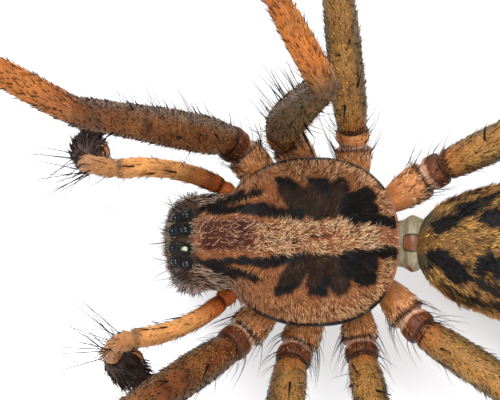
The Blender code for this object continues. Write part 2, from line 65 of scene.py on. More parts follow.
# Camera, floor and lights
# The animal is looked at from almost straight above, through a long lens, with its
# head to the left. It stands on a pale matt board in soft light from two sides.
CAMERA_TARGET = (-1.08, -1.67, 4.0)
CAMERA_TILT = math.radians(4.0)
CAMERA_DISTANCE = 0.120
CAMERA_LENS = 335.5
SKY_COLOUR = (0.94, 0.96, 1.0, 1.0)
SKY_STRENGTH = 0.60
LIGHTS = {
    # name: place in mm, width in mm, watts
    "key": ((-150.0, -40.0, 250.0), 240.0, 1.30),
    "fill": ((210.0, 40.0, 190.0), 220.0, 0.75),
    "glint": ((-70.0, 60.0, 300.0), 30.0, 0.10),
}
LIGHTS_MEET = (0.0, 0.0, 3.0)
BOARD_COLOUR = (0.86, 0.87, 0.88)
BOARD_FIBRES = 1.0 / 0.09
BOARD_CORNERS = [(-1.0, -1.0, 0.0), (1.0, -1.0, 0.0), (1.0, 1.0, 0.0), (-1.0, 1.0, 0.0)]


def feed(tree, node, inputs):
    """Set a node's inputs to values, or link them where a socket is given."""
    for name, value in inputs.items():
        if isinstance(value, bpy.types.NodeSocket):
            tree.links.new(value, node.inputs[name])
        else:
            node.inputs[name].default_value = value


def add(tree, kind, inputs, **settings):
    """A new node with its settings and its inputs."""
    node = tree.nodes.new(kind)
    for name, value in settings.items():
        setattr(node, name, value)
    feed(tree, node, inputs)
    return node


def maths(tree, kind, *inputs):
    """Numbers combined in a tree."""
    return add(tree, "ShaderNodeMath", dict(enumerate(inputs)), operation=kind).outputs[0]


def scaled(tree, vector, factor):
    """A vector or a colour times a number in a tree."""
    return add(tree, "ShaderNodeVectorMath", {0: vector, "Scale": factor}, operation="SCALE").outputs[0]


def ranged(tree, value, spread, ends):
    """A value taken from one range to another in a tree."""
    return add(tree, "ShaderNodeMapRange", {
        "Value": value, "From Min": spread[0], "From Max": spread[1], "To Min": ends[0], "To Max": ends[1],
    }).outputs["Result"]


def surface(name, colour, grain, tone, gloss, polish, detail=2.0, spread=(0.0, 1.0), pores=None, relief=None):
    """A finish toned, glossed and raised by noise with a grain in mm, over a colour or a layer."""
    material = bpy.data.materials.new(name)
    material.use_nodes = True
    tree = material.node_tree
    shader = tree.nodes["Principled BSDF"]
    place = add(tree, "ShaderNodeTexCoord", {}).outputs["Object"]
    texture = {"Vector": place, "Scale": 1.0 / (grain * MM), "Detail": detail}
    noise = add(tree, "ShaderNodeTexNoise", texture).outputs["Fac"]
    height = speckle = noise
    if pores:
        cells = add(tree, "ShaderNodeTexVoronoi", {"Vector": place, "Scale": 1.0 / (pores * MM)})
        speckle = cells.outputs["Distance"]
        height = maths(tree, "ADD", noise, speckle)
    if isinstance(colour, str):
        colour = add(tree, "ShaderNodeAttribute", {}, attribute_name=colour).outputs["Color"]
    toned = scaled(tree, colour, ranged(tree, noise, spread, tone))
    feed(tree, shader, {"Base Color": toned, "Roughness": ranged(tree, speckle, (0.0, 1.0), gloss)} | polish)
    if relief:
        strength, depth = relief
        raised = add(tree, "ShaderNodeBump", {"Strength": strength, "Distance": depth * MM, "Height": height})
        feed(tree, shader, {"Normal": raised.outputs["Normal"]})
    return material


back = Vector((math.sin(CAMERA_TILT), 0.0, math.cos(CAMERA_TILT)))
right = Vector((0.0, 1.0, 0.0))
camera = bpy.data.objects.new("camera", bpy.data.cameras.new("camera"))
camera.data.lens = CAMERA_LENS
camera.data.clip_start = 0.01
camera.matrix_world = Matrix((right, back.cross(right), back)).transposed().to_4x4()
camera.location = Vector(in_row(CAMERA_TARGET)) + back * CAMERA_DISTANCE
scene = bpy.context.scene
scene.collection.objects.link(camera)
scene.camera = camera
scene.view_settings.view_transform = "Standard"

scene.world = bpy.data.worlds.new("studio")
scene.world.use_nodes = True
sky = scene.world.node_tree.nodes["Background"]
sky.inputs["Color"].default_value = SKY_COLOUR
sky.inputs["Strength"].default_value = SKY_STRENGTH

for name, (place, width, watts) in LIGHTS.items():
    light = bpy.data.lights.new(name, "AREA")
    light.shape = "DISK"
    light.size = width * MM
    light.energy = watts
    lamp = bpy.data.objects.new(name, light)
    lamp.location = in_row(place)
    beam = Vector(in_row(LIGHTS_MEET)) - lamp.location
    lamp.rotation_euler = beam.to_track_quat("-Z", "Y").to_euler()
    scene.collection.objects.link(lamp)

board = bpy.data.meshes.new("board")
board.from_pydata(BOARD_CORNERS, [], [(0, 1, 2, 3)])
BOARD_FINISH = surface("board", BOARD_COLOUR, BOARD_FIBRES, (0.97, 1.03), (0.85, 0.85), {}, detail=4.0)
board.materials.append(BOARD_FINISH)
floor = bpy.data.objects.new("board", board)
scene.collection.objects.link(floor)

# Carapace
# The hard shield over the head and thorax: smooth dark brown horn with a raised head,
# a pit and radiating grooves on the thorax, and a beaded rim. It is one closed skin.
HEAD_HALF_WIDTH = 1.21
HEAD_CENTRE = -2.60
HEAD_REACH = 1.24
HEAD_ROUNDNESS = 3.0
THORAX_HALF_WIDTH = 2.20
THORAX_FRONT = 2.45
THORAX_REAR = 2.20
THORAX_ROUNDNESS = 2.3
JOIN_ROUNDNESS = 16
ARCH = 2.2
RIM_TOP = 4.00
RIM_BEAD = 0.030
RIM_WIDTH = 0.05
RIDGE = [
    # place along the body, height of the back
    (-3.84, 4.25), (-3.64, 4.75), (-3.30, 5.17), (-2.70, 5.42), (-1.70, 5.38),
    (-0.80, 5.18), (-0.10, 5.08), (0.50, 5.12), (1.30, 4.90), (1.85, 4.52), (2.19, 4.12),
]
MIDLINE = -0.09
CARAPACE_ENDS = (-3.835, 2.195)
CARAPACE_ROWS = 190
CARAPACE_COLUMNS = 150
ROW_CROWDING = 0.35
SKIN_DEPTH = 0.05
EYE_BED_DEPTH = 0.02
EYE_BED = (0.13, 0.26)
UNDER_RIM = ((1.0, 0.06), (0.985, 0.14), (0.95, 0.17), (0.90, 0.15), (0.55, 0.05))
GROOVE_TURNS = (38.0, 82.0, 112.0, 146.0)
GROOVE_DEPTH = 0.05
GROOVE_WIDTH = 0.09
PIT = ((0.0, -0.16), (0.0, 0.12), 0.0)
PIT_DEPTH = 0.12
PIT_WIDTH = 0.055
PIT_STAIN = ((0.0, -0.16), (0.0, 0.35), 0.0)
PIT_STAIN_WIDTH = 0.06
EYES = [
    # name, distance from the midline, place along the body, radius
    ("ame", 0.22, -3.66, 0.125), ("ale", 0.55, -3.58, 0.120),
    ("pme", 0.25, -3.32, 0.125), ("ple", 0.62, -3.28, 0.120),
]
STRIPE = [
    # distance from the midline, place along the body, half width
    (0.66, -2.72, 0.08), (0.66, -1.95, 0.12), (0.67, -1.42, 0.14), (0.61, -0.90, 0.15), (0.52, -0.40, 0.13),
]
CHEEK_LINE = [(0.56, -3.20, 0.09), (0.80, -2.55, 0.12), (1.02, -1.85, 0.12), (1.12, -1.40, 0.05)]
BROWN_LOBES = [
    # from the midline outwards: two ends of each lobe and its radius
    ((0.78, -0.42), (1.18, -0.68), 0.28), ((0.74, 0.12), (1.18, 0.10), 0.33),
    ((0.72, 0.62), (1.22, 0.62), 0.27), ((0.66, -0.20), (0.66, 0.90), 0.20),
]
RIGHT_BRIDGE = ((1.02, -0.50), (1.08, 0.55), 0.26)
BLACK_LOBES = [
    ((1.29, -0.60), (1.40, -0.92), 0.12), ((1.45, -0.14), (1.43, 0.24), 0.10),
    ((1.12, 0.24), (1.36, 0.12), 0.14), ((0.62, 0.86), (0.64, 1.36), 0.28),
    ((0.84, 0.92), (1.04, 1.30), 0.27), ((0.43, 1.54), (0.38, 2.00), 0.17),
]
AMBER_PATCH = ((0.88, -2.10), (0.96, -1.20), 0.06)
HORN_BROWN = (0.150, 0.050, 0.018)
HORN_RED = (0.040, 0.010, 0.005)
HORN_PINK = (0.210, 0.080, 0.040)
HORN_BLACK = (0.008, 0.007, 0.007)
HORN_UNDER = (0.070, 0.032, 0.018)
PIT_RED = (0.05, 0.012, 0.010)
LOBE_BROWN = (0.018, 0.010, 0.007)
FACE_BROWN = (0.045, 0.022, 0.013)
FRONT_BROWN = (0.120, 0.045, 0.020)
REAR_RIM = (0.30, 0.12, 0.07)


def value_at(pairs, places):
    """Values on a smooth curve through (place, value) pairs."""
    knots = np.array([place for place, _ in pairs], dtype=float)
    values = np.array([value for _, value in pairs], dtype=float)
    steps = np.diff(values) / np.diff(knots)
    inner = np.where(steps[:-1] * steps[1:] > 0, 0.5 * (steps[:-1] + steps[1:]), 0.0)
    slopes = np.concatenate((steps[:1], inner, steps[-1:]))
    places = np.clip(np.asarray(places, dtype=float), knots[0], knots[-1])
    i = np.clip(np.searchsorted(knots, places, side="right") - 1, 0, len(steps) - 1)
    span = knots[i + 1] - knots[i]
    t = (places - knots[i]) / span
    start = (1 + 2 * t) * (1 - t) ** 2 * values[i] + t * (1 - t) ** 2 * span * slopes[i]
    end = t * t * (3 - 2 * t) * values[i + 1] + t * t * (t - 1) * span * slopes[i + 1]
    return start + end


def unit(vectors):
    """Vectors made one long."""
    return vectors / np.maximum(np.linalg.norm(vectors, axis=-1, keepdims=True), 1e-12)


def soft_step(low, high, values):
    """0 below low, 1 above high, and smooth between."""
    t = np.clip((values - low) / (high - low), 0.0, 1.0)
    return t * t * (3 - 2 * t)


def crowded(count):
    """Shares between 0 and 1, closer together towards both."""
    return 0.5 * (1 - np.cos(np.pi * (np.arange(count) + 0.5) / count))


def ripple(places, size, seed):
    """A smooth random field from -1 to 1 over points, with bumps of about that size."""
    chance = np.random.default_rng(seed)
    ways = unit(chance.normal(size=(9, places.shape[-1])))
    waves = ways * (chance.uniform(0.6, 1.7, (9, 1)) * math.pi / size)
    phases = chance.uniform(0.0, math.tau, 9)
    return np.clip(np.sin(places @ waves.T + phases).sum(axis=-1) / 3.2, -1.0, 1.0)


def painted(points, ground, layers):
    """A ground colour over a grid of points, under (colour, share) layers laid on in turn."""
    colour = np.broadcast_to(np.array(ground, dtype=float), points.shape)
    for other, share in layers:
        colour = colour + (np.array(other) - colour) * share[..., None]
    return colour


def give(mesh, name, values, shape):
    """Store a number, a vector or a colour for each vertex, spread over the shape of its grid."""
    values = np.broadcast_to(np.asarray(values, dtype=float), shape).reshape(len(mesh.vertices), -1)
    kind, key = ("FLOAT", "value") if values.shape[1] == 1 else ("FLOAT_VECTOR", "vector")
    if name.endswith("colour"):
        values = np.concatenate((np.clip(values, 0.0, 1.0), np.ones((len(values), 1))), axis=1)
        kind, key = "FLOAT_COLOR", "color"
    mesh.attributes.new(name, kind, "POINT").data.foreach_set(key, values.ravel())


def on_body(name, mesh, replaced=()):
    """A mesh as a piece on the root body, instead of the solids that it replaces."""
    piece = bpy.data.objects.new(name, mesh)
    scene.collection.objects.link(piece)
    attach(piece, "root")
    if replaced:
        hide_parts(*replaced)
    return piece


def skin_piece(name, points, replaced, material, colour):
    """A closed, smooth skin through a grid of points in mm, coloured at each of them."""
    rows, columns = points.shape[:2]
    index = np.arange(rows * columns).reshape(rows, columns)
    beside = np.roll(index, -1, axis=1)
    quads = np.stack((index[:-1], beside[:-1], beside[1:], index[1:]), axis=-1).reshape(-1, 4).tolist()
    ends = [index[0, ::-1].tolist(), index[-1].tolist()]
    mesh = bpy.data.meshes.new(name)
    mesh.from_pydata(in_row(points.reshape(-1, 3)).tolist(), [], quads + ends)
    shell = bmesh.new()
    shell.from_mesh(mesh)
    bmesh.ops.recalc_face_normals(shell, faces=shell.faces)
    shell.to_mesh(mesh)
    shell.free()
    mesh.shade_smooth()
    mesh.materials.append(material)
    give(mesh, "skin_colour", colour, points.shape)
    return on_body(name, mesh, replaced)


def horn(name, roughness, bumps, height, glow=0.0, shine=0.3):
    """Skin or horn in its vertex colours, with fine mottling, gloss and relief."""
    polish = {
        "Specular IOR Level": shine, "Subsurface Weight": glow,
        "Subsurface Radius": (1.0, 0.45, 0.2), "Subsurface Scale": 0.25 * MM,
    }
    return surface(
        name, "skin_colour", bumps, (0.75, 1.25), (roughness - 0.12, roughness + 0.12), polish,
        detail=5.0, spread=(0.3, 0.7), pores=bumps / 0.8, relief=(0.6, height),
    )


def rounded(share, roundness):
    """Half width of a rounded outline, as a share of its widest, at a share of its length."""
    return np.maximum(0.0, 1 - np.abs(share) ** roundness) ** (1 / roundness)


def carapace_half_width(y):
    """Half width of the carapace outline at y."""
    thorax = THORAX_HALF_WIDTH * rounded(y / np.where(y < 0, THORAX_FRONT, THORAX_REAR), THORAX_ROUNDNESS)
    head = HEAD_HALF_WIDTH * rounded((y - HEAD_CENTRE) / HEAD_REACH, HEAD_ROUNDNESS)
    both = thorax ** JOIN_ROUNDNESS + head ** JOIN_ROUNDNESS
    return both ** (1 / JOIN_ROUNDNESS)


def carapace_height(x, y):
    """Height of the back of the carapace at a place."""
    share = np.minimum(1.0, np.abs(x) / carapace_half_width(y))
    return RIM_TOP + (value_at(RIDGE, y) - RIM_TOP) * rounded(share, ARCH)


def capsule(x, y, start, end, radius):
    """Distance in mm from a straight band with round ends, negative inside it."""
    way = np.array(end) - np.array(start)
    along = np.clip(((x - start[0]) * way[0] + (y - start[1]) * way[1]) / (way @ way), 0.0, 1.0)
    return np.hypot(x - start[0] - along * way[0], y - start[1] - along * way[1]) - radius


def nearest(x, y, bands):
    """Distance in mm from the nearest of some bands."""
    return np.min([capsule(x, y, *band) for band in bands], axis=0)


def carapace_marks(points):
    """Shares of each marking at points of the carapace."""
    wobble = 0.045 * ripple(points, 0.22, 3) + 0.03 * ripple(points, 0.10, 4)
    x = np.abs(points[..., 0] - MIDLINE) + wobble
    y = points[..., 1] + 0.03 * ripple(points, 0.16, 5)
    pairs = list(zip(STRIPE, STRIPE[1:])) + list(zip(CHEEK_LINE, CHEEK_LINE[1:]))
    lines = [(a[:2], b[:2], 0.5 * (a[2] + b[2])) for a, b in pairs]
    black = nearest(x, y, BLACK_LOBES + lines)
    brown = nearest(x, y, BROWN_LOBES)
    bridged = np.minimum(brown, capsule(x, y, *RIGHT_BRIDGE))
    brown = np.where(points[..., 0] < MIDLINE, bridged, brown)
    eyes = np.min([np.hypot(np.abs(points[..., 0]) - a, points[..., 1] - b) for _, a, b, _ in EYES], axis=0)
    cheek_edge = np.interp(y, [-3.3, -2.5, -1.8], [0.60, 0.85, 1.05])
    return dict(
        black=1 - soft_step(-0.03, 0.03, black),
        brown=1 - soft_step(-0.06, 0.06, brown),
        eyes=1 - soft_step(0.17, 0.24, eyes),
        under_eye=1 - soft_step(0.12, 0.14, eyes),
        cheek=soft_step(0.0, 0.12, x - cheek_edge) * (1 - soft_step(-2.6, -1.6, y)),
        amber=1 - soft_step(0.02, 0.08, capsule(x, y, *AMBER_PATCH)),
        middle=1 - soft_step(0.34, 0.52, x),
        head=1 - soft_step(-1.75, -1.35, y),
        red=(1 - soft_step(0.32, 0.50, x)) * (1 - soft_step(-1.75, -1.25, y)) * soft_step(-3.1, -2.8, y),
        face=1 - soft_step(-3.22, -2.98, y - 0.10 * x),
        rear=soft_step(1.45, 1.70, y) * (1 - soft_step(0.22, 0.34, x)),
    )


even = np.linspace(0.0, 1.0, CARAPACE_ROWS)
shares = ROW_CROWDING * crowded(CARAPACE_ROWS) + (1 - ROW_CROWDING) * even
row_y = CARAPACE_ENDS[0] + (CARAPACE_ENDS[1] - CARAPACE_ENDS[0]) * shares
angles = np.linspace(0.0, math.pi, CARAPACE_COLUMNS)
half = carapace_half_width(row_y)[:, None]
rise = (value_at(RIDGE, row_y) - RIM_TOP)[:, None]
x = half * np.sign(np.cos(angles)) * np.abs(np.cos(angles)) ** (2 / ARCH)
z = RIM_TOP + rise * np.sin(angles) ** (2 / ARCH)
dome = np.stack(np.broadcast_arrays(x, row_y[:, None], z), axis=-1)
down = unit(np.cross(np.gradient(dome, axis=0), np.gradient(dome, axis=1)))
down *= np.where(down[..., 2:] > 0, -1.0, 1.0)
from_rim = (half - np.abs(x)) / np.hypot(1.0, np.gradient(half[:, 0], row_y))[:, None]
groove_ways = np.arctan2(dome[..., 0] - MIDLINE, -dome[..., 1])
from_pit = np.hypot(dome[..., 0] - MIDLINE, dome[..., 1])
relief = RIM_BEAD * np.exp(-(from_rim / RIM_WIDTH) ** 2)
groove_reach = soft_step(0.25, 0.6, from_pit) * soft_step(0.1, 0.5, from_rim)
for turn in GROOVE_TURNS:
    for side in (-1.0, 1.0):
        off = np.abs(groove_ways - side * math.radians(turn)) * from_pit
        relief = relief - GROOVE_DEPTH * np.exp(-(off / GROOVE_WIDTH) ** 2) * groove_reach
pit = capsule(dome[..., 0] - MIDLINE, dome[..., 1], *PIT)
relief = relief - PIT_DEPTH * np.exp(-(pit / PIT_WIDTH) ** 2)
for _, across, place, radius in EYES:
    from_eye = np.hypot(np.abs(dome[..., 0]) - across, dome[..., 1] - place)
    relief = relief + (SKIN_DEPTH + EYE_BED_DEPTH) * (1 - soft_step(*EYE_BED, from_eye))
dome = dome + down * (SKIN_DEPTH - relief)[..., None]
right_under = [dome[:, -1:] * (share, 1.0, 1.0) - drop * UP for share, drop in UNDER_RIM]
left_under = [dome[:, :1] * (share, 1.0, 1.0) - drop * UP for share, drop in reversed(UNDER_RIM)]
carapace_points = np.concatenate([dome] + right_under + left_under, axis=1)
UNDER_COLUMNS = 2 * len(UNDER_RIM)

marks = carapace_marks(carapace_points)
y = carapace_points[..., 1]
on_thorax = soft_step(-2.1, -1.6, row_y)[:, None]
below = on_thorax * np.array((1, 1, 0, 0, 0, 0, 0, 0, 1, 1))
rim_share = np.concatenate((on_thorax * (1 - soft_step(0.045, 0.075, from_rim)), below), axis=1)
near_rim = np.concatenate((on_thorax * (1 - soft_step(0.07, 0.15, from_rim)), below), axis=1)
from_stain = capsule(carapace_points[..., 0] - MIDLINE, y, *PIT_STAIN)
pit_line = np.exp(-(from_stain / PIT_STAIN_WIDTH) ** 2)
at_front = 1 - soft_step(-3.78, -3.70, y)
head_sides = np.clip(marks["cheek"] + marks["face"], 0, 1)
horn_colour = painted(carapace_points, HORN_BROWN, [
    (HORN_PINK, marks["rear"]),
    (HORN_RED, marks["red"]),
    (PIT_RED, 0.9 * pit_line),
    (LOBE_BROWN, marks["brown"]),
    (HORN_BLACK, marks["black"]),
    (FACE_BROWN, np.clip(marks["face"] + 0.7 * marks["cheek"], 0, 1)),
    (FRONT_BROWN, at_front),
    (HORN_BLACK, marks["eyes"]),
    (HORN_BLACK, rim_share * (1 - soft_step(1.75, 2.0, y))),
    (REAR_RIM, rim_share * soft_step(1.75, 2.0, y)),
])
horn_colour[:, CARAPACE_COLUMNS + 2:-2] = HORN_UNDER
CARAPACE_HORN = horn("carapace_horn", 0.50, 0.05, 0.012, shine=0.06)
carapace = skin_piece(
    "carapace_skin", carapace_points, ["carapace"], CARAPACE_HORN, horn_colour,
)

# Carapace hair
# Short feathery hairs lie over the horn: cream along the middle, tan on the flanks,
# black on the dark marks. They are rooted in the horn and follow its markings.
SMALLEST_HAIR = 0.6
DARK_HAIR_EXTRA = 0.6
TONE_SEED = 77
LOWEST_HAIR = 0.003
ROOT_SHADE = 0.70
TIP_GAIN = 0.55
BAKE_PATCH = 0.003
DARK_STRAND = (0.018, 0.010, 0.007)
CREAM = (0.820, 0.560, 0.330)
HEAD_CREAM = (0.60, 0.35, 0.22)
TAN = (0.760, 0.460, 0.240)
RUST_HAIR = (0.440, 0.190, 0.072)
FRONT_RUST = (0.280, 0.100, 0.040)
CHEEK_DARK = (0.045, 0.030, 0.024)
CHEEK_PALE = (0.560, 0.400, 0.300)
LIP_TAN = (0.300, 0.150, 0.070)
AMBER = (0.620, 0.330, 0.110)
UMBER = (0.034, 0.021, 0.014)
SOOT = (0.008, 0.007, 0.008)
BROW = (0.560, 0.480, 0.330)
BACKWARD = np.array((0.0, 1.0, 0.0))


def strand(name, rings, thickness, lift, curl=0.0, sides=3):
    """One tapering hair, a metre long in z, that bows towards x over its root."""
    turns = [math.tau * i / sides for i in range(sides)]
    points = []
    marks = []
    for t in np.linspace(0.0, 1.0, rings + 1)[:-1]:
        radius = thickness * (1 - 0.75 * t)
        middle = lift * math.sin(1.9 * t) - 0.6 * thickness
        sway = curl * math.sin(4.0 * t)
        points += [(middle + radius * math.cos(a), sway + radius * math.sin(a), t - 0.02) for a in turns]
        marks += [(t, a / math.tau, 0.0) for a in turns]
    points.append((lift * math.sin(1.9) - 0.6 * thickness, curl * math.sin(4.0), 1.0))
    marks.append((1.0, 0.5, 0.0))
    faces = []
    for low in range(0, (rings - 1) * sides, sides):
        for i in range(sides):
            j = (i + 1) % sides
            faces.append((low + i, low + j, low + sides + j, low + sides + i))
    top = (rings - 1) * sides
    faces += [(top + i, top + (i + 1) % sides, rings * sides) for i in range(sides)]
    mesh = bpy.data.meshes.new(name)
    mesh.from_pydata(points, [], faces)
    mesh.shade_smooth()
    give(mesh, "strand", marks, (len(points), 3))
    return bpy.data.objects.new(name, mesh)


def new_tree(name, inputs):
    """An empty geometry tree with named inputs, and the sockets that hand them in."""
    tree = bpy.data.node_groups.new(name, "GeometryNodeTree")
    tree.interface.new_socket("Geometry", in_out="INPUT", socket_type="NodeSocketGeometry")
    for socket, kind in inputs.items():
        tree.interface.new_socket(socket, in_out="INPUT", socket_type="NodeSocket" + kind)
    tree.interface.new_socket("Geometry", in_out="OUTPUT", socket_type="NodeSocketGeometry")
    return tree, tree.nodes.new("NodeGroupInput").outputs


def layer(tree, name, kind="FLOAT_VECTOR"):
    """A named layer of the geometry, as a socket."""
    return add(tree, "GeometryNodeInputNamedAttribute", {"Name": name}, data_type=kind).outputs["Attribute"]


def vectors(tree, kind, *inputs):
    """Vectors combined in a tree."""
    return add(tree, "ShaderNodeVectorMath", dict(enumerate(inputs)), operation=kind).outputs[0]


def real_copies(tree, points, inputs):
    """Copies of the tree's shape on points, made real."""
    copies = add(tree, "GeometryNodeInstanceOnPoints", {"Points": points} | inputs).outputs["Instances"]
    return add(tree, "GeometryNodeRealizeInstances", {"Geometry": copies}).outputs["Geometry"]


def finish_tree(tree, geometry, material):
    """End a tree with its geometry in its material."""
    finished = add(tree, "GeometryNodeSetMaterial", {"Geometry": geometry, "Material": material})
    add(tree, "NodeGroupOutput", {"Geometry": finished.outputs["Geometry"]})


def coat_tree():
    """Geometry nodes: hairs scattered over a skin, laid along its lay and sized by it."""
    tree, given = new_tree("coat", {
        "Hairs per area": "Float", "Smallest": "Float", "Scatter": "Float", "Rise": "Float",
        "Dark share": "Float", "Seed": "Int", "Shape": "Object", "Material": "Material",
    })
    spread = add(tree, "GeometryNodeDistributePointsOnFaces", {
        "Mesh": given["Geometry"], "Seed": given["Seed"],
        "Density": maths(tree, "MULTIPLY", layer(tree, "density", "FLOAT"), given["Hairs per area"]),
    }).outputs
    jitter = add(tree, "FunctionNodeRandomValue", {
        0: (-1.0, -1.0, -1.0), 1: (1.0, 1.0, 1.0), "Seed": given["Seed"],
    }, data_type="FLOAT_VECTOR").outputs[0]
    way = vectors(tree, "ADD", layer(tree, "lay"), scaled(tree, jitter, given["Scatter"]))
    way = vectors(tree, "ADD", way, scaled(tree, spread["Normal"], given["Rise"]))
    turned = add(tree, "FunctionNodeAlignRotationToVector", {"Vector": way}, axis="Z").outputs["Rotation"]
    faced = add(tree, "FunctionNodeAlignRotationToVector", {
        "Rotation": turned, "Vector": spread["Normal"],
    }, axis="X", pivot_axis="Z").outputs["Rotation"]
    size = add(tree, "FunctionNodeRandomValue", {
        2: given["Smallest"], 3: 1.0, "Seed": given["Seed"],
    }, data_type="FLOAT").outputs[1]
    tone = add(tree, "FunctionNodeRandomValue", {
        2: 0.0, 3: 1.0, "Seed": TONE_SEED,
    }, data_type="FLOAT").outputs[1]
    toned = add(tree, "GeometryNodeStoreNamedAttribute", {
        "Geometry": spread["Points"], "Name": "tone", "Value": tone,
    }, data_type="FLOAT", domain="POINT").outputs["Geometry"]
    dark = maths(tree, "LESS_THAN", tone, given["Dark share"])
    larger = maths(tree, "MULTIPLY_ADD", dark, DARK_HAIR_EXTRA, 1.0)
    length = maths(tree, "MULTIPLY", maths(tree, "MULTIPLY", layer(tree, "length", "FLOAT"), size), larger)
    shape = add(tree, "GeometryNodeObjectInfo", {"Object": given["Shape"]}).outputs["Geometry"]
    hairs = real_copies(tree, toned, {"Instance": shape, "Rotation": faced, "Scale": length})
    finish_tree(tree, hairs, given["Material"])
    return tree


def grown(base, tree, inputs):
    """The plain mesh that a tree grows on a base mesh, with none of it below the floor."""
    shape = inputs["Shape"]
    holder = bpy.data.objects.new("base", base)
    for used in (holder, shape):
        scene.collection.objects.link(used)
    modifier = holder.modifiers.new(tree.name, "NODES")
    modifier.node_group = tree
    for socket in tree.interface.items_tree:
        if socket.name in inputs:
            modifier[socket.identifier] = inputs[socket.name]
    depsgraph = bpy.context.evaluated_depsgraph_get()
    mesh = bpy.data.meshes.new_from_object(holder.evaluated_get(depsgraph))
    mesh.materials.clear()
    mesh.materials.append(inputs["Material"])
    scene.collection.objects.unlink(shape)
    bpy.data.objects.remove(holder, do_unlink=True)
    places = np.empty(len(mesh.vertices) * 3, dtype=np.float32)
    mesh.vertices.foreach_get("co", places)
    places[2::3] = np.maximum(places[2::3], LOWEST_HAIR * MM)
    mesh.vertices.foreach_set("co", places)
    return mesh


def read(mesh, name, key, width):
    """A layer of a mesh as rows of numbers."""
    values = np.empty(len(mesh.vertices) * width, dtype=np.float32)
    mesh.attributes[name].data.foreach_get(key, values)
    return values.reshape(-1, width)


def bake_map(mesh, patch):
    """The UV map for baking, from a place in it for each vertex."""
    corners = np.empty(len(mesh.loops), dtype=np.int32)
    mesh.loops.foreach_get("vertex_index", corners)
    mesh.uv_layers.new(name="OFBake").data.foreach_set("uv", patch[corners].astype(np.float32).ravel())


def hair_finish(name, roughness):
    """Hair in its vertex colours, finely banded."""
    gloss = (roughness - 0.1, roughness + 0.1)
    return surface(
        name, "hair_colour", 0.04, (0.8, 1.2), gloss, {"Specular IOR Level": 0.03}, relief=(0.3, 0.004),
    )


COAT_TREE = coat_tree()
SHORT_HAIR = strand("short_hair", 2, 0.055, 0.16)
CURLED_HAIR = strand("curled_hair", 3, 0.046, 0.16, 0.12)
FINE_HAIR = hair_finish("fine_hair", 0.55)
DARK_HAIR = hair_finish("dark_hair", 0.40)


def coat(skin, points, per_mm2, seed, lay, colour, density, length, along=None, around=None,
         shape=SHORT_HAIR, material=FINE_HAIR, scatter=0.25, rise=0.1, spread=0.35, dark=0.0):
    """Hairs over a skin, from its grid of points and what the hairs are like at each of them."""
    rows, columns = points.shape[:2]
    along = np.linspace(0.01, 0.99, rows) if along is None else along
    around = np.linspace(0.0, math.tau, columns, endpoint=False) if around is None else around
    root = np.broadcast_arrays(np.reshape(along, (rows, 1)), np.cos(around), np.sin(around))
    base = skin.data.copy()
    give(base, "lay", lay, points.shape)
    give(base, "hair_colour", colour, points.shape)
    give(base, "root", np.stack(root, axis=-1), points.shape)
    give(base, "density", density, (rows, columns))
    give(base, "length", np.asarray(length) * MM, (rows, columns))
    mesh = grown(base, COAT_TREE, {
        "Hairs per area": per_mm2 / MM ** 2, "Smallest": SMALLEST_HAIR, "Scatter": scatter, "Rise": rise,
        "Dark share": dark, "Seed": seed, "Shape": shape, "Material": material,
    })
    tone = read(mesh, "tone", "value", 1)
    place = read(mesh, "strand", "vector", 3)
    shades = read(mesh, "hair_colour", "color", 4)
    shades[:, :3] *= (1 + spread * (2 * tone - 1)) * (ROOT_SHADE + TIP_GAIN * place[:, :1])
    shades[:, :3] = np.where(tone < dark, DARK_STRAND, shades[:, :3])
    mesh.attributes["hair_colour"].data.foreach_set("color", np.clip(shades, 0.0, 1.0).ravel())
    root = read(mesh, "root", "vector", 3)
    turn = np.arctan2(root[:, 2], root[:, 1]) / math.tau + 0.5
    bake_map(mesh, np.stack((root[:, 0], turn), axis=1) * (1 - BAKE_PATCH) + place[:, :2] * BAKE_PATCH)
    for used in ("tone", "strand", "root", "lay", "density", "length", "skin_colour"):
        mesh.attributes.remove(mesh.attributes[used])
    return on_body(skin.name.replace("_skin", "") + "_hair", mesh)


out = np.stack((carapace_points[..., 0] - MIDLINE, y, np.zeros_like(y)), axis=-1)
off_midline = np.abs(out[..., :1])
head_share = head_sides[..., None]
lay = unit(out) * (0.25 + 0.75 * soft_step(0.3, 0.9, off_midline))
lay = lay + BACKWARD * (0.4 + 0.5 * marks["head"][..., None])
lay = unit(lay * (1 - head_share) + head_share * (BACKWARD + 0.12 * unit(out)))
lay = lay + (1 - soft_step(-3.72, -3.55, y))[..., None] * np.array((0.0, -2.0, 0.8))
tousle = np.stack([ripple(carapace_points, 0.5, seed) for seed in (21, 22, 23)], axis=-1)
lay = unit(lay + (0.55 - 0.35 * head_share) * tousle)
lay = (1 + 2 * head_share - 0.3 * marks["middle"][..., None]) * lay
from_edge = np.concatenate((from_rim, np.zeros((CARAPACE_ROWS, UNDER_COLUMNS))), axis=1)
inside = soft_step(0.30, 0.75, from_edge + 0.15 * ripple(carapace_points, 0.5, 33))
forepart = 1 - soft_step(-1.5, -0.3, y + 0.4 * ripple(carapace_points, 0.4, 35))
turns = np.linspace(0.0, math.pi * (1 + UNDER_COLUMNS / CARAPACE_COLUMNS), CARAPACE_COLUMNS + UNDER_COLUMNS)
pale_rows = soft_step(-0.6, 0.6, np.sin(turns * 64 + 3.0 * ripple(carapace_points, 0.4, 31)))
# Speckle pattern: paler hairs in the brown lobes, painted glints on the glossy hair of the black marks.
specks_and_glints = soft_step(0.2, 0.8, ripple(carapace_points, 0.09, 36))
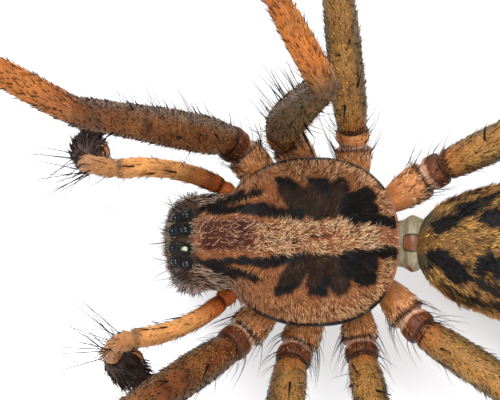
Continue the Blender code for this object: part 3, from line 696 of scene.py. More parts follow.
hair_colour = painted(carapace_points, TAN, [
    (RUST_HAIR, 0.75 * inside),
    (FRONT_RUST, 0.65 * forepart),
    (CREAM, marks["middle"]),
    (HEAD_CREAM, marks["head"] * marks["middle"]),
    (CHEEK_DARK, head_sides),
    (CHEEK_PALE, head_sides * pale_rows),
    (LIP_TAN, at_front),
    (AMBER, marks["amber"]),
    (UMBER, marks["brown"] * (1 - 0.20 * specks_and_glints)),
    # In the black marks the specks lighten the hair slightly: painted glints off its gloss.
    (SOOT, marks["black"] * (1 - 0.5 * marks["eyes"]) * (1 - 0.06 * specks_and_glints)),
    (BROW, marks["eyes"] * (1 - soft_step(0.1, 0.5, off_midline[..., 0]))),
])
density = 0.90 + 0.10 * marks["middle"] - 0.72 * marks["red"] - 0.9 * marks["rear"] * (1 - marks["black"])
density = density * (1 - marks["under_eye"]) * (1 - 0.9 * pit_line) * (1 - near_rim)
density[:, CARAPACE_COLUMNS + 2:-2] = 0.0
length = 0.15 + 0.02 * ripple(carapace_points, 0.6, 9) - 0.06 * marks["face"]
length = length + 0.05 * np.clip(marks["middle"] + marks["cheek"], 0, 1)
coat(
    carapace, carapace_points, 540, 11, lay, hair_colour, np.clip(density, 0.0, 1.0),
    length, around=math.pi * np.linspace(-0.98, 0.98, CARAPACE_COLUMNS + UNDER_COLUMNS),
    shape=CURLED_HAIR, scatter=0.5, rise=0.12, spread=0.5, dark=0.12,
)

# Eyes
# Eight small glossy lenses in two rows on the front of the head, each in a black
# ring of horn. Each is a clear ball, sunk by about a third of its radius.
EYE_SUNK = 0.35
EYE_GRID = (30, 36)
EYE_POLE = 0.02
GLINT_HALF_WIDTH = 0.45
GLINT_HALF_LENGTH = 0.75
EYE_BLACK = 0.003
# Colours of the painted reflections on the lenses: a faint glint, and ivory eyeshine on one eye.
EYE_FAINT_SHINE = (0.006, 0.008, 0.008)
EYESHINE_IVORY = (0.36, 0.38, 0.25)
SHINING_EYE = ("pme", "left")
LENS = surface(
    "eye_wet", "skin_colour", 0.09, (0.4, 1.6), (0.04, 0.12),
    {"Specular IOR Level": 0.15, "Coat Weight": 0.35, "Coat Roughness": 0.02},
)


def globe(rows, columns, pole):
    """A ball of radius one with small open poles, and the tilt and turn of its points."""
    tilt = np.linspace(pole, math.pi - pole, rows)[:, None]
    turn = np.linspace(0.0, math.tau, columns, endpoint=False)[None]
    ball = np.broadcast_arrays(np.sin(tilt) * np.cos(turn), np.sin(tilt) * np.sin(turn), np.cos(tilt))
    return np.stack(ball, axis=-1), tilt, turn


ball, _, _ = globe(*EYE_GRID, EYE_POLE)
# Each lens carries a painted reflection on its top: ivory eyeshine on the left hind middle eye, a faint glint
# on the others.
from_glint = np.hypot(ball[..., 0] / GLINT_HALF_WIDTH, ball[..., 1] / GLINT_HALF_LENGTH)
glint = (1 - soft_step(0.75, 1.15, from_glint)) * (ball[..., 2] > 0)
for name, across, place, radius in EYES:
    for side, word in ((-1, "right"), (1, "left")):
        centre = np.array((across * side, place, carapace_height(across, place) - EYE_SUNK * radius))
        lens_colour = painted(ball, EYE_BLACK, [(EYESHINE_IVORY if (name, word) == SHINING_EYE else EYE_FAINT_SHINE, glint)])
        points = centre + radius * ball
        skin_piece(f"lens_{name}_{word}", points, [f"eye_{name}_{word}"], LENS, lens_colour)

# Legs
# Eight walking legs. Each has a coxa at the body, a short trochanter, femur, patella,
# tibia, metatarsus and tarsus, joined by soft rings between dark rims of horn.
PAIRS = {
    1: dict(hip=(1.28, -0.90), trochanter=0.62, femur=8.10, shins=(2.50, 8.00, 8.60, 3.40), girth=1.00),
    2: dict(hip=(1.42, 0.08), trochanter=0.58, femur=7.80, shins=(2.40, 7.00, 8.00, 3.00), girth=1.00),
    3: dict(hip=(1.36, 1.06), trochanter=0.55, femur=7.00, shins=(2.20, 6.00, 7.60, 2.60), girth=0.94),
    4: dict(hip=(0.98, 1.76), trochanter=0.58, femur=8.20, shins=(2.30, 7.40, 9.60, 3.00), girth=0.98),
}
POSES = {
    # coxa: turn and length; femur: turn and lift; shin: turn
    "leg1_right": dict(side=-1, pair=1, coxa=(49, 1.51), femur=(1, 63), shin=28),
    "leg1_left": dict(side=1, pair=1, coxa=(48, 1.42), femur=(36, 46), shin=34),
    "leg2_right": dict(side=-1, pair=2, coxa=(58, 1.42), femur=(159, 82), shin=60),
    "leg2_left": dict(side=1, pair=2, coxa=(67, 1.34), femur=(81, 50), shin=66),
    "leg3_right": dict(side=-1, pair=3, coxa=(88, 1.20), femur=(82, 48), shin=92),
    "leg3_left": dict(side=1, pair=3, coxa=(96, 1.20), femur=(100, 48), shin=108),
    "leg4_right": dict(side=-1, pair=4, coxa=(146, 1.38), femur=(156, 20), shin=157),
    "leg4_left": dict(side=1, pair=4, coxa=(127, 1.14), femur=(145, 23), shin=150),
}
HIP_HEIGHT = 2.78
COXA_LIFT = 4.0
FEMUR_BOW = 3.0
RING_LEAN = 0.9
SHIN_LIFTS = (-80.0, 40.0)
SHIN_HALVINGS = 60
PATELLA_LIFT_SHARE = 0.40
METATARSUS_DROP = 7.0
TARSUS_DROP = 14.0
COXA_RADII = [(0.0, 0.26), (0.18, 0.40), (0.42, 0.50), (0.62, 0.53), (0.70, 0.46), (0.84, 0.49), (1.0, 0.46)]
FEMUR_RADII = [(0.0, 0.42), (0.10, 0.48), (0.28, 0.50), (0.50, 0.48), (0.70, 0.44), (0.90, 0.41), (1.0, 0.40)]
TIBIA_RADII = [
    (0.0, 0.37), (0.07, 0.38), (0.16, 0.37), (0.22, 0.34), (0.26, 0.31), (0.32, 0.33),
    (0.50, 0.33), (0.75, 0.31), (0.94, 0.29), (1.0, 0.28),
]
FOOT_RADII = [
    (0.0, 0.28), (0.10, 0.28), (0.40, 0.27), (0.66, 0.26), (0.715, 0.25), (0.75, 0.25),
    (0.87, 0.25), (0.93, 0.22), (0.98, 0.16), (1.0, 0.07),
]
TIP_CUT = 0.10
LEG_SIDES = 36
LEG_DEPTH = 0.025
LEG_STEPS = (0.20, 0.045)
LEG_ROUNDING = 0.10
JOINT_REACH = 0.4
END_REACH = 0.3
PATH_STEP = 0.02
PATH_OVERRUN = 2.0
PATH_BLUR = 40
GOLD = (0.230, 0.110, 0.032)
ORANGE = (0.310, 0.082, 0.014)
FOOT_BROWN = (0.130, 0.055, 0.022)
COXA_BROWN = (0.460, 0.175, 0.058)
OLIVE = (0.080, 0.054, 0.024)
RUST = (0.110, 0.026, 0.010)
PLATE_BROWN = (0.105, 0.033, 0.013)
TAWNY = (0.560, 0.320, 0.210)
LEG_BROWN = (0.125, 0.036, 0.013)
BLACK_BROWN = (0.020, 0.010, 0.007)
LEG_GOLD_HAIR = (0.68, 0.39, 0.13)
LEG_OLIVE_HAIR = (0.14, 0.10, 0.045)
COXA_HAIR = (0.95, 0.70, 0.48)
TIBIA_HAIR = (0.60, 0.225, 0.050)
FOOT_HAIR = (0.26, 0.130, 0.050)
DARK_AND_SHADED_HAIR = (0.20, 0.075, 0.030)
LEG_HORN = horn("leg_horn", 0.42, 0.06, 0.010, glow=0.10, shine=0.13)
STOUT_HAIR = strand("stout_hair", 2, 0.075, 0.16)


def direction(side, turn, lift):
    """Unit vector turned from straight ahead towards a side, and lifted from level."""
    turn, lift = math.radians(turn), math.radians(lift)
    level = math.cos(lift)
    return np.array((side * math.sin(turn) * level, -math.cos(turn) * level, math.sin(lift)))


def bowed(side, turn, lift, length, turn_bow=0.0, lift_bow=0.0):
    """A bent length as four straight parts."""
    bends = (1.0, 0.33, -0.33, -1.0)
    return [(direction(side, turn + b * turn_bow, lift + b * lift_bow), length / 4) for b in bends]


def corners_of(start, parts):
    """Corners of a chain of (direction, length) parts, and their distances along it."""
    steps = np.array([way * length for way, length in parts])
    corners = np.concatenate(([start], start + np.cumsum(steps, axis=0)))
    return corners, np.concatenate(([0.0], np.cumsum([length for _, length in parts])))


def stations(end, joints, coarse, fine):
    """Distances along a limb, closer together about its joints and its end."""
    places = [np.arange(0.0, end, coarse), np.arange(end - END_REACH, end, fine), [end]]
    places += [np.arange(j - JOINT_REACH, j + JOINT_REACH, fine) for j in joints]
    places = np.unique(np.round(np.concatenate(places), 3))
    places = places[(places >= 0.0) & (places <= end)]
    kept = [places[0]]
    for place in places[1:]:
        if place - kept[-1] > 0.6 * fine:
            kept.append(place)
    kept[-1] = end
    return np.array(kept)


def limb_path(corners, lengths, places, rounding):
    """Points along a chain, its corners rounded off."""
    fine = np.arange(-0.5 * PATH_OVERRUN, lengths[-1] + 0.5 * PATH_OVERRUN, PATH_STEP)
    first = corners[0] - unit(corners[1] - corners[0]) * PATH_OVERRUN
    last = corners[-1] + unit(corners[-1] - corners[-2]) * PATH_OVERRUN
    knots = np.concatenate(([-PATH_OVERRUN], lengths, [lengths[-1] + PATH_OVERRUN]))
    points = np.concatenate(([first], corners, [last]))
    kernel = np.exp(-0.5 * (np.arange(-PATH_BLUR, PATH_BLUR + 1) * PATH_STEP / rounding) ** 2)
    kernel /= kernel.sum()
    path = []
    for k in range(3):
        smooth = np.convolve(np.interp(fine, knots, points[:, k]), kernel, mode="same")
        path.append(np.interp(places, fine, smooth))
    return np.stack(path, axis=1)


def tube_points(path, top, radii, sides, flat=1.0):
    """Rings round a path, first point on top, then round by the animal's left."""
    along = unit(np.gradient(path, axis=0))
    across = unit(np.cross(along, top))
    over = unit(np.cross(across, along))
    angle = np.linspace(0.0, math.tau, sides, endpoint=False)[:, None]
    ring = flat * np.cos(angle) * over[:, None] + np.sin(angle) * across[:, None]
    radii = np.reshape(radii, (len(path), 1, 1))
    return path[:, None] + radii * ring, along, unit(ring)


def spliced(s, ends, tables):
    """Radii along a limb, from one table for each part between its ends."""
    parts = list(zip(ends, ends[1:], tables))
    radii = value_at(parts[-1][2], (s - parts[-1][0]) / (parts[-1][1] - parts[-1][0]))
    for first, last, table in reversed(parts[:-1]):
        radii = np.where(s < last, value_at(table, (s - first) / (last - first)), radii)
    return radii


def band(s, place, width):
    """A soft ring about a place along a limb."""
    return np.exp(-((s - place) / width) ** 2)


def swollen(s, level, rings):
    """A level along a limb with soft rings on it, from (place, width, height) rows."""
    return level + sum(height * band(s, place, width) for place, width, height in rings)


def leg_plan(leg, pair):
    """The chain of a leg with its tip on the floor, its distances and the way to its knee's top."""
    side = leg["side"]
    coxa_way = direction(side, leg["coxa"][0], COXA_LIFT)
    femur = bowed(side, *leg["femur"], pair["femur"], lift_bow=FEMUR_BOW)
    ring_way = unit(coxa_way + RING_LEAN * femur[0][0])
    hip = np.array((pair["hip"][0] * side, pair["hip"][1], HIP_HEIGHT))
    upper = [(coxa_way, leg["coxa"][1]), (ring_way, pair["trochanter"])] + femur
    knee = corners_of(hip, upper)[0][-1]
    low, high = SHIN_LIFTS
    for _ in range(SHIN_HALVINGS):
        shin = 0.5 * (low + high)
        patella = shin + PATELLA_LIFT_SHARE * (leg["femur"][1] - shin)
        lifts = [patella, shin, shin - METATARSUS_DROP, shin - TARSUS_DROP]
        tip = knee[2] + sum(size * math.sin(math.radians(lift)) for size, lift in zip(pair["shins"], lifts))
        low, high = (low, shin) if tip > 0 else (shin, high)
    lower = [(direction(side, leg["shin"], lift), size) for lift, size in zip(lifts, pair["shins"])]
    corners, lengths = corners_of(hip, upper + lower)
    return corners, lengths, unit(femur[1][0] - lower[1][0])


LEG_LIMBS = {}
for number, (name, leg) in enumerate(POSES.items()):
    pair = PAIRS[leg["pair"]]
    first_pair = leg["pair"] == 1
    in_shade = leg["pair"] == 2 and leg["side"] == -1
    corners, lengths, crest = leg_plan(leg, pair)
    trochanter, root, knee, shin, ankle, tarsus, tip = lengths[[1, 2, 6, 7, 8, 9, 10]]
    end = tip - TIP_CUT
    rings = stations(end, (trochanter, root, knee, shin, ankle, tarsus), *LEG_STEPS)
    path = limb_path(corners, lengths, rings, LEG_ROUNDING)
    s = rings[:, None]
    share = soft_step(trochanter, root + 0.8, s)
    radii = spliced(s, (0.0, root, knee, ankle, end), (COXA_RADII, FEMUR_RADII, TIBIA_RADII, FOOT_RADII))
    radii = swollen(s, radii * np.where(s < ankle, pair["girth"], 1.0) - LEG_DEPTH, (
        (trochanter - 0.08, 0.05, 0.025), (trochanter + 0.06, 0.06, -0.060), (root - 0.16, 0.08, 0.010),
        (root + 0.01, 0.05, -0.060), (root + 0.12, 0.05, 0.010), (knee, 0.08, -0.055),
        (shin, 0.07, -0.035), (ankle, 0.06, -0.035), (tarsus, 0.06, -0.020),
    ))
    points, along, outward = tube_points(path, unit(UP * (1 - share) + crest * share), radii, LEG_SIDES)
    angle = np.linspace(0.0, math.tau, LEG_SIDES, endpoint=False)[None]
    wobble = ripple(points, 0.9, 40 + number)
    fine = ripple(points, 0.25, 60 + number)
    flank = soft_step(0.45, 0.95, np.abs(np.sin(angle)) + 0.12 * wobble) * (s > root) * (s < knee)
    orange = 0.7 * (1 - soft_step(root, root + 1.1, s)) + 0.85 * soft_step(knee - 0.6, knee + 0.4, s)
    to_foot = 0.6 * soft_step(ankle - 1.0, tip - 2.0, s)
    layers = [
        (OLIVE, 0.8 * flank),
        (ORANGE, np.clip(orange, 0, 1) * (0.85 + 0.15 * wobble)),
        (FOOT_BROWN, to_foot),
        (COXA_BROWN, (1 - soft_step(root - 0.1, root + 0.2, s)) * (0.75 + 0.25 * fine)),
    ]
    if first_pair:
        femur_share = soft_step(root - 0.1, root + 0.5, s) * (1 - soft_step(knee, knee + 1.6, s))
        blotches = soft_step(0.5, 1.0, ripple(points, 0.45, 70 + number))
        layers += [
            (LEG_BROWN, femur_share * (0.80 + 0.2 * wobble)),
            (OLIVE, 0.6 * flank),
            (BLACK_BROWN, 0.6 * femur_share * blotches),
        ]
    # Painted shade: the right second femur is darkened to olive, as if in shadow.
    if in_shade:
        shaded = soft_step(root + 0.6, root + 2.0, s) * (1 - soft_step(knee - 0.3, knee + 0.9, s))
        layers.append((OLIVE, 0.8 * shaded))
    mottle = soft_step(-0.1, 0.9, fine + 0.6 * ripple(points, 0.12, 80 + number))
    mottle = mottle * (1 - soft_step(root - 0.2, root, s))
    ring_share = soft_step(trochanter - 0.02, trochanter + 0.03, s) * (1 - soft_step(root - 0.1, root, s))
    saddle_edge = s + 0.10 * np.cos(angle) + 0.03 * fine - trochanter
    saddle = soft_step(0.24, 0.28, saddle_edge)
    saddle = saddle - 0.5 * saddle * (1 - soft_step(0.24, 0.30, saddle_edge))
    plate_colour = PLATE_BROWN if leg["side"] == 1 or leg["pair"] in (1, 4) else COXA_BROWN
    creases = soft_step(0.2, 0.9, np.sin(55 * s + 3 * np.cos(angle) + 2.5 * fine))
    creases = creases * (1 - soft_step(root, root + 0.1, s))
    rims = swollen(s, 0.0, (
        (trochanter - 0.07, 0.08, 1.3), (root - 0.02, 0.045, 1.3), (root + 0.20, 0.045, 1.3),
        (knee - 0.15, 0.30, 0.6), (shin - 0.10, 0.07, 0.5), (ankle - 0.1, 0.08, 0.5),
    ))
    layers += [
        (BLACK_BROWN, 0.40 * mottle),
        (TAWNY, 0.95 * ring_share),
        (plate_colour, saddle * (1 - soft_step(root - 0.06, root + 0.02, s))),
        (RUST, 0.9 * band(s, root + 0.10, 0.12)),
        (RUST, 0.5 * creases * saddle),
        (BLACK_BROWN, np.clip(rims, 0, 1) * (0.85 + 0.15 * fine)),
    ]
    colour = painted(points, GOLD, layers) * (1 + 0.2 * fine[..., None])
    replaced = [f"{name}_{word}" for word in ("coxa", "femur", "tibia", "foot")]
    skin = skin_piece(f"{name}_skin", points, replaced, LEG_HORN, colour)

    layers = [
        (LEG_OLIVE_HAIR, 0.85 * flank),
        (COXA_HAIR, 1 - soft_step(trochanter - 0.2, root, s)),
        (TIBIA_HAIR, soft_step(knee - 0.2, knee + 0.6, s)),
        (FOOT_HAIR, to_foot),
    ]
    # Darker femur hair: the first pair's own colour, and painted shade on the right second leg.
    if first_pair or in_shade:
        on_femur = soft_step(root + 1.0, root + 2.6, s) * (1 - soft_step(knee - 0.2, knee + 0.8, s))
        layers.append((DARK_AND_SHADED_HAIR, 0.85 * on_femur))
    plate = soft_step(trochanter + 0.12, trochanter + 0.20, s) * (1 - soft_step(root - 0.04, root + 0.02, s))
    bare = swollen(s, (0.75 if plate_colour is PLATE_BROWN else 0.35) * plate, (
        (trochanter, 0.12, 1.0), (root, 0.12, 1.0), (root + 0.35, 0.12, 0.5),
        (knee, 0.10, 0.5), (shin, 0.1, 0.3),
    ))
    coat(
        skin, points, 190, 100 + number, along[:, None], painted(points, LEG_GOLD_HAIR, layers),
        np.clip(1 - bare, 0.0, 1.0) * soft_step(0.5, 0.8, s),
        0.11 + 0.02 * soft_step(root, root + 2, s) - 0.04 * soft_step(tarsus, tip, s),
        along=0.01 + 0.98 * s / tip, shape=STOUT_HAIR,
        scatter=0.28, rise=0.20, spread=0.45, dark=0.36 if first_pair else 0.24,
    )
    joints = (trochanter, root, knee, shin, ankle, tarsus)
    LEG_LIMBS[name] = dict(rings=rings, points=points, along=along, outward=outward, joints=joints, tip=tip)

# Abdomen
# The soft hind body: leathery skin under a dense coat of short golden hair, with
# paired black patches and small chevrons down its back, and dark streaked sides.
ABDOMEN_FRONT = 2.62
ABDOMEN_REAR = 9.70
ABDOMEN_LENGTH = ABDOMEN_REAR - ABDOMEN_FRONT
ABDOMEN_WIDEST = ABDOMEN_FRONT + 0.52 * ABDOMEN_LENGTH
ABDOMEN_DEPTH = 0.06
ABDOMEN_HALF_WIDTH = 1.89 - ABDOMEN_DEPTH
ABDOMEN_HALF_HEIGHT = 1.66 - ABDOMEN_DEPTH
ABDOMEN_YAW = math.radians(5.0)
ABDOMEN_ROUNDNESS = 2.2
ABDOMEN_HEIGHT = 3.45
ABDOMEN_DROOP = 0.55
ABDOMEN_ROWS = 150
ABDOMEN_SIDES = 150
PATCHES = [
    # pairs of black patches on the back: from, to, radius, in mm from the midline and y
    ((0.40, 3.12), (0.84, 3.86), 0.23), ((0.58, 4.38), (0.74, 4.98), 0.29),
    ((0.50, 5.45), (0.85, 5.80), 0.22), ((0.42, 6.20), (0.80, 6.50), 0.17),
    ((0.36, 7.00), (0.66, 7.25), 0.14), ((0.28, 7.70), (0.52, 7.90), 0.12),
    ((0.22, 8.35), (0.38, 8.50), 0.10), ((0.24, 3.80), (0.26, 3.90), 0.05),
    ((0.02, 2.75), (0.02, 3.00), 0.01), ((0.05, 3.45), (0.05, 3.70), 0.01),
    ((0.04, 4.05), (0.06, 4.45), 0.02),
]
CHEVRONS = [
    # place of the tip, half width
    (5.05, 0.50), (5.95, 0.46), (6.75, 0.40), (7.50, 0.34), (8.15, 0.26),
]
STREAKS = [
    ((0.84, 3.88), (1.28, 4.76), 0.13), ((1.28, 4.76), (1.40, 5.60), 0.12),
    ((1.12, 3.35), (1.62, 4.60), 0.10), ((1.62, 4.75), (1.85, 5.80), 0.12),
    ((1.30, 5.90), (1.66, 6.90), 0.13), ((1.10, 7.00), (1.40, 7.80), 0.12),
    ((0.85, 7.90), (1.05, 8.50), 0.11),
]
FURROW_PLACE = 4.15
FURROW_BOW = 0.12
FURROW_WIDTH = 0.05
PATTERN_LEAN = 0.07
PATTERN_LEAN_END = 2.4
PATTERN_WIDTH = 4.94
LUNG_COVER = ((0.72, 3.55), (0.78, 3.82), 0.26)
ABDOMEN_BROWN = (0.130, 0.062, 0.019)
ABDOMEN_FRONT_GREY = (0.060, 0.050, 0.028)
ABDOMEN_BLACK = (0.006, 0.006, 0.006)
ABDOMEN_GOLD = (0.70, 0.400, 0.105)
ABDOMEN_TAN = (0.52, 0.26, 0.085)
ABDOMEN_MOTTLE = (0.26, 0.11, 0.035)
ABDOMEN_GREY_HAIR = (0.060, 0.052, 0.032)
LUNG_GOLD = (0.72, 0.50, 0.26)
ABDOMEN_SKIN = horn("abdomen_leather", 0.60, 0.07, 0.015, shine=0.12)
ABDOMEN_HAIR = strand("abdomen_hair_shape", 2, 0.060, 0.18, 0.10)


def abdomen_frame(points):
    """Points of the straight abdomen, turned about its front end."""
    cos, sin = math.cos(ABDOMEN_YAW), math.sin(ABDOMEN_YAW)
    behind = points[..., 1] - ABDOMEN_FRONT
    x = points[..., 0] * cos + behind * sin
    y = ABDOMEN_FRONT + behind * cos - points[..., 0] * sin
    return np.stack((x, y, points[..., 2]), axis=-1)


rear = (0.004 + 0.992 * crowded(ABDOMEN_ROWS))[:, None]
y = ABDOMEN_FRONT + ABDOMEN_LENGTH * rear
reach = np.where(y < ABDOMEN_WIDEST, ABDOMEN_WIDEST - ABDOMEN_FRONT, ABDOMEN_REAR - ABDOMEN_WIDEST)
girth = rounded((y - ABDOMEN_WIDEST) / reach, ABDOMEN_ROUNDNESS)
middle = ABDOMEN_HEIGHT - ABDOMEN_DROOP * rear * rear
angle = np.linspace(0.0, math.tau, ABDOMEN_SIDES, endpoint=False)[None]
straight = np.stack(np.broadcast_arrays(
    ABDOMEN_HALF_WIDTH * girth * np.sin(angle), y, middle + ABDOMEN_HALF_HEIGHT * girth * np.cos(angle),
), axis=-1)
centre_line = np.stack((np.zeros_like(y), y, middle), axis=-1)
wrinkle = 0.020 * ripple(straight, 0.5, 81) + 0.010 * ripple(straight, 0.2, 82)
straight = straight + unit(straight - centre_line) * (wrinkle * girth)[..., None]
abdomen_points = abdomen_frame(straight)

above = straight[..., 2] > middle
from_keel = np.abs(straight[..., 0])
lean = PATTERN_LEAN * np.minimum(straight[..., 1] - ABDOMEN_FRONT, PATTERN_LEAN_END)
across = np.where(above, np.abs(straight[..., 0] + lean), PATTERN_WIDTH - from_keel)
across = across + 0.08 * ripple(straight, 0.3, 83) + 0.07 * ripple(straight, 0.12, 87)
place = straight[..., 1] + 0.07 * ripple(straight, 0.2, 84)
chevrons = [((0.02, tip - 0.15), (wide, tip + 0.16), 0.05) for tip, wide in CHEVRONS]
dark = 1 - soft_step(-0.05, 0.05, nearest(across, place, PATCHES))
dark = np.clip(dark + 0.95 * (1 - soft_step(-0.05, 0.05, nearest(across, place, STREAKS))), 0, 1)
dark = np.clip(dark + 0.7 * (1 - soft_step(-0.04, 0.04, nearest(across, place, chevrons))), 0, 1)
speckle = soft_step(0.45, 0.8, ripple(straight, 0.13, 85)) * (0.6 + 0.4 * soft_step(0.5, 1.2, across))
dark = np.clip(dark + 0.40 * speckle, 0, 1)
front = (1 - soft_step(2.80, 3.20, place)) * soft_step(0.20, 0.45, across)
from_keel = from_keel + 0.04 * ripple(straight, 0.3, 89)
from_furrow = straight[..., 1] - FURROW_PLACE + FURROW_BOW * from_keel
furrow = np.exp(-(from_furrow / FURROW_WIDTH) ** 2)
furrow = furrow * (from_keel < 1.05) * ~above
lungs = (1 - soft_step(-0.05, 0.05, capsule(from_keel, straight[..., 1], *LUNG_COVER))) * ~above
dark = np.clip(dark + furrow - lungs, 0, 1)
skin_colour = painted(straight, ABDOMEN_BROWN, [(ABDOMEN_FRONT_GREY, front), (ABDOMEN_BLACK, dark)])
abdomen = skin_piece("abdomen_skin", abdomen_points, ["abdomen"], ABDOMEN_SKIN, skin_colour)

hair_colour = painted(straight, ABDOMEN_GOLD, [
    (ABDOMEN_TAN, soft_step(0.9, 1.3, across)),
    (ABDOMEN_MOTTLE, 0.6 * soft_step(0.3, 0.7, ripple(straight, 0.18, 88))),
    (ABDOMEN_GREY_HAIR, front),
    (LUNG_GOLD, 0.8 * lungs),
    (ABDOMEN_BLACK, dark),
])
towards_rear = abdomen_frame(straight + 0.1 * BACKWARD) - abdomen_points
outward = abdomen_points - abdomen_frame(np.broadcast_to(centre_line, straight.shape))
lay = unit(unit(towards_rear) + 0.35 * unit(outward) * np.array((1.0, 0.3, 0.3)))
coat(
    abdomen, abdomen_points, 285, 12, lay, hair_colour, np.where(above, 1.0, 0.6),
    0.19 + 0.03 * ripple(straight, 0.5, 86), along=0.01 + 0.98 * rear,
    shape=ABDOMEN_HAIR, scatter=0.45, rise=0.16, spread=0.5, dark=0.09,
)

# Waist
# A short soft stalk of wrinkled grey-green membrane joins thorax and abdomen. A thin
# reddish-brown plate of horn lies on top of it.
PEDICEL_Y = [1.70, 2.10, 2.30, 2.54, 2.76, 3.10, 3.30]
PEDICEL_RADII = list(zip(PEDICEL_Y, [0.50, 0.58, 0.62, 0.74, 0.66, 0.50, 0.40]))
PEDICEL_HEIGHTS = list(zip(PEDICEL_Y, [3.22, 3.22, 3.20, 3.23, 3.26, 3.28, 3.30]))
PEDICEL_FLATNESS = 0.62
PEDICEL_MIDDLE = 3.24
PEDICEL_RINGS = 60
PEDICEL_SIDES = 48
FOLD_DEPTH = 0.008
PEDICEL_SPOT = ((0.62, 2.43), (0.72, 2.53), 0.03)
PLATE_ENDS = (2.28, 2.98)
PLATE_HALF_WIDTH = 0.24
PLATE_HALF_THICKNESS = 0.035
PLATE_REACH = 0.36
PLATE_LEVEL = 3.235
PLATE_ARCH = 0.5
PLATE_GRID = (40, 32)
MEMBRANE_GREEN = (0.200, 0.165, 0.095)
SPOT_RED = (0.12, 0.02, 0.01)
WAIST_BROWN = (0.13, 0.045, 0.018)
y = np.linspace(PEDICEL_Y[0], PEDICEL_Y[-1], PEDICEL_RINGS)
path = np.stack((np.zeros_like(y), y, value_at(PEDICEL_HEIGHTS, y)), axis=1)
points, _, _ = tube_points(path, UP, value_at(PEDICEL_RADII, y), PEDICEL_SIDES, PEDICEL_FLATNESS)
folds = 0.5 + 0.5 * np.sin(points[..., 1] * 42 + 1.6 * ripple(points, 0.3, 90))
swell = FOLD_DEPTH * folds[..., None] - 0.01
points = points + UP * swell * np.sign(points[..., 2:] - PEDICEL_MIDDLE)
spot = capsule(points[..., 0], points[..., 1], *PEDICEL_SPOT)
# The membrane is painted darker in the troughs of its folds and lighter on their crests: painted shade and
# light.
colour = np.array(MEMBRANE_GREEN) * (0.85 + 0.20 * folds[..., None])
colour = painted(points, colour, [(SPOT_RED, 1 - soft_step(-0.02, 0.03, spot))])
MEMBRANE = horn("membrane", 0.35, 0.05, 0.010, glow=0.3)
skin_piece("waist_membrane", points, ["pedicel"], MEMBRANE, colour)

y = np.linspace(*PLATE_ENDS, PLATE_GRID[0])[:, None]
turn = np.linspace(0.0, math.tau, PLATE_GRID[1], endpoint=False)[None]
x = PLATE_HALF_WIDTH * rounded((y - np.mean(PLATE_ENDS)) / PLATE_REACH, 4) * np.sin(turn)
x = x * (1 - 0.25 * soft_step(2.5, 2.95, y))
z = PLATE_LEVEL + PEDICEL_FLATNESS * value_at(PEDICEL_RADII, y)
z = z + PLATE_HALF_THICKNESS * np.cos(turn) - PLATE_ARCH * x ** 2
points = np.stack(np.broadcast_arrays(x, y, z), axis=-1)
colour = painted(points, WAIST_BROWN, [(BLACK_BROWN, np.abs(np.sin(turn)) ** 4)])
skin_piece("waist_plate", points, [], horn("waist_horn", 0.35, 0.05, 0.008), colour)

# Flanks and underside
# Under the carapace's rim soft grey-brown skin closes the thorax between the coxae.
# Below lie the heart-shaped sternum and the lip, plates of dark horn.
FLANK_OUTLINE = [
    # place along the body, half width
    (-2.40, 0.55), (-1.60, 0.80), (-1.00, 1.25), (-0.30, 1.55),
    (0.60, 1.55), (1.30, 1.25), (1.90, 0.70), (2.12, 0.40),
]
STERNUM_OUTLINE = [(-1.25, 0.40), (-0.95, 0.78), (-0.20, 1.00), (0.70, 0.85), (1.35, 0.48), (1.75, 0.14)]
LABIUM_OUTLINE = [(-2.12, 0.16), (-2.00, 0.24), (-1.60, 0.27)]
FLANK_HEIGHTS = (2.55, 3.95)
UNDER_PLATES = [
    # name, outline, bottom, top, strength of the pale middle band
    ("sternum", STERNUM_OUTLINE, 2.08, 2.62, 0.7), ("labium", LABIUM_OUTLINE, 2.13, 2.58, 0.0),
]
PALE_BAND_WIDTH = 0.22
PILLOW_GRID = (70, 60)
PILLOW_END = 0.10
PILLOW_EDGE = 0.7
FLANK_BROWN = (0.17, 0.09, 0.045)
FLANK_HAIR = (0.45, 0.28, 0.15)
STERNUM_BROWN = (0.055, 0.028, 0.016)
STERNUM_BAND = (0.20, 0.11, 0.05)
STERNUM_HAIR = (0.09, 0.05, 0.03)
JAW_HORN = horn("jaw_horn", 0.30, 0.07, 0.012)


def pillow_points(outline, bottom, top):
    """A closed pillow from (place, half width) pairs, with rounded edges."""
    y = np.linspace(outline[0][0], outline[-1][0], PILLOW_GRID[0])[:, None]
    ends = np.sqrt(np.clip(np.minimum(y - y[0], y[-1] - y) / PILLOW_END, 0.02, 1.0))
    angle = np.linspace(0.0, math.tau, PILLOW_GRID[1], endpoint=False)
    x = value_at(outline, y) * ends * np.sign(np.sin(angle)) * np.abs(np.sin(angle)) ** PILLOW_EDGE
    up = np.sign(np.cos(angle)) * np.abs(np.cos(angle)) ** PILLOW_EDGE
    z = 0.5 * (top + bottom) + ends * 0.5 * (top - bottom) * up
    return np.stack(np.broadcast_arrays(x, y, z), axis=-1)


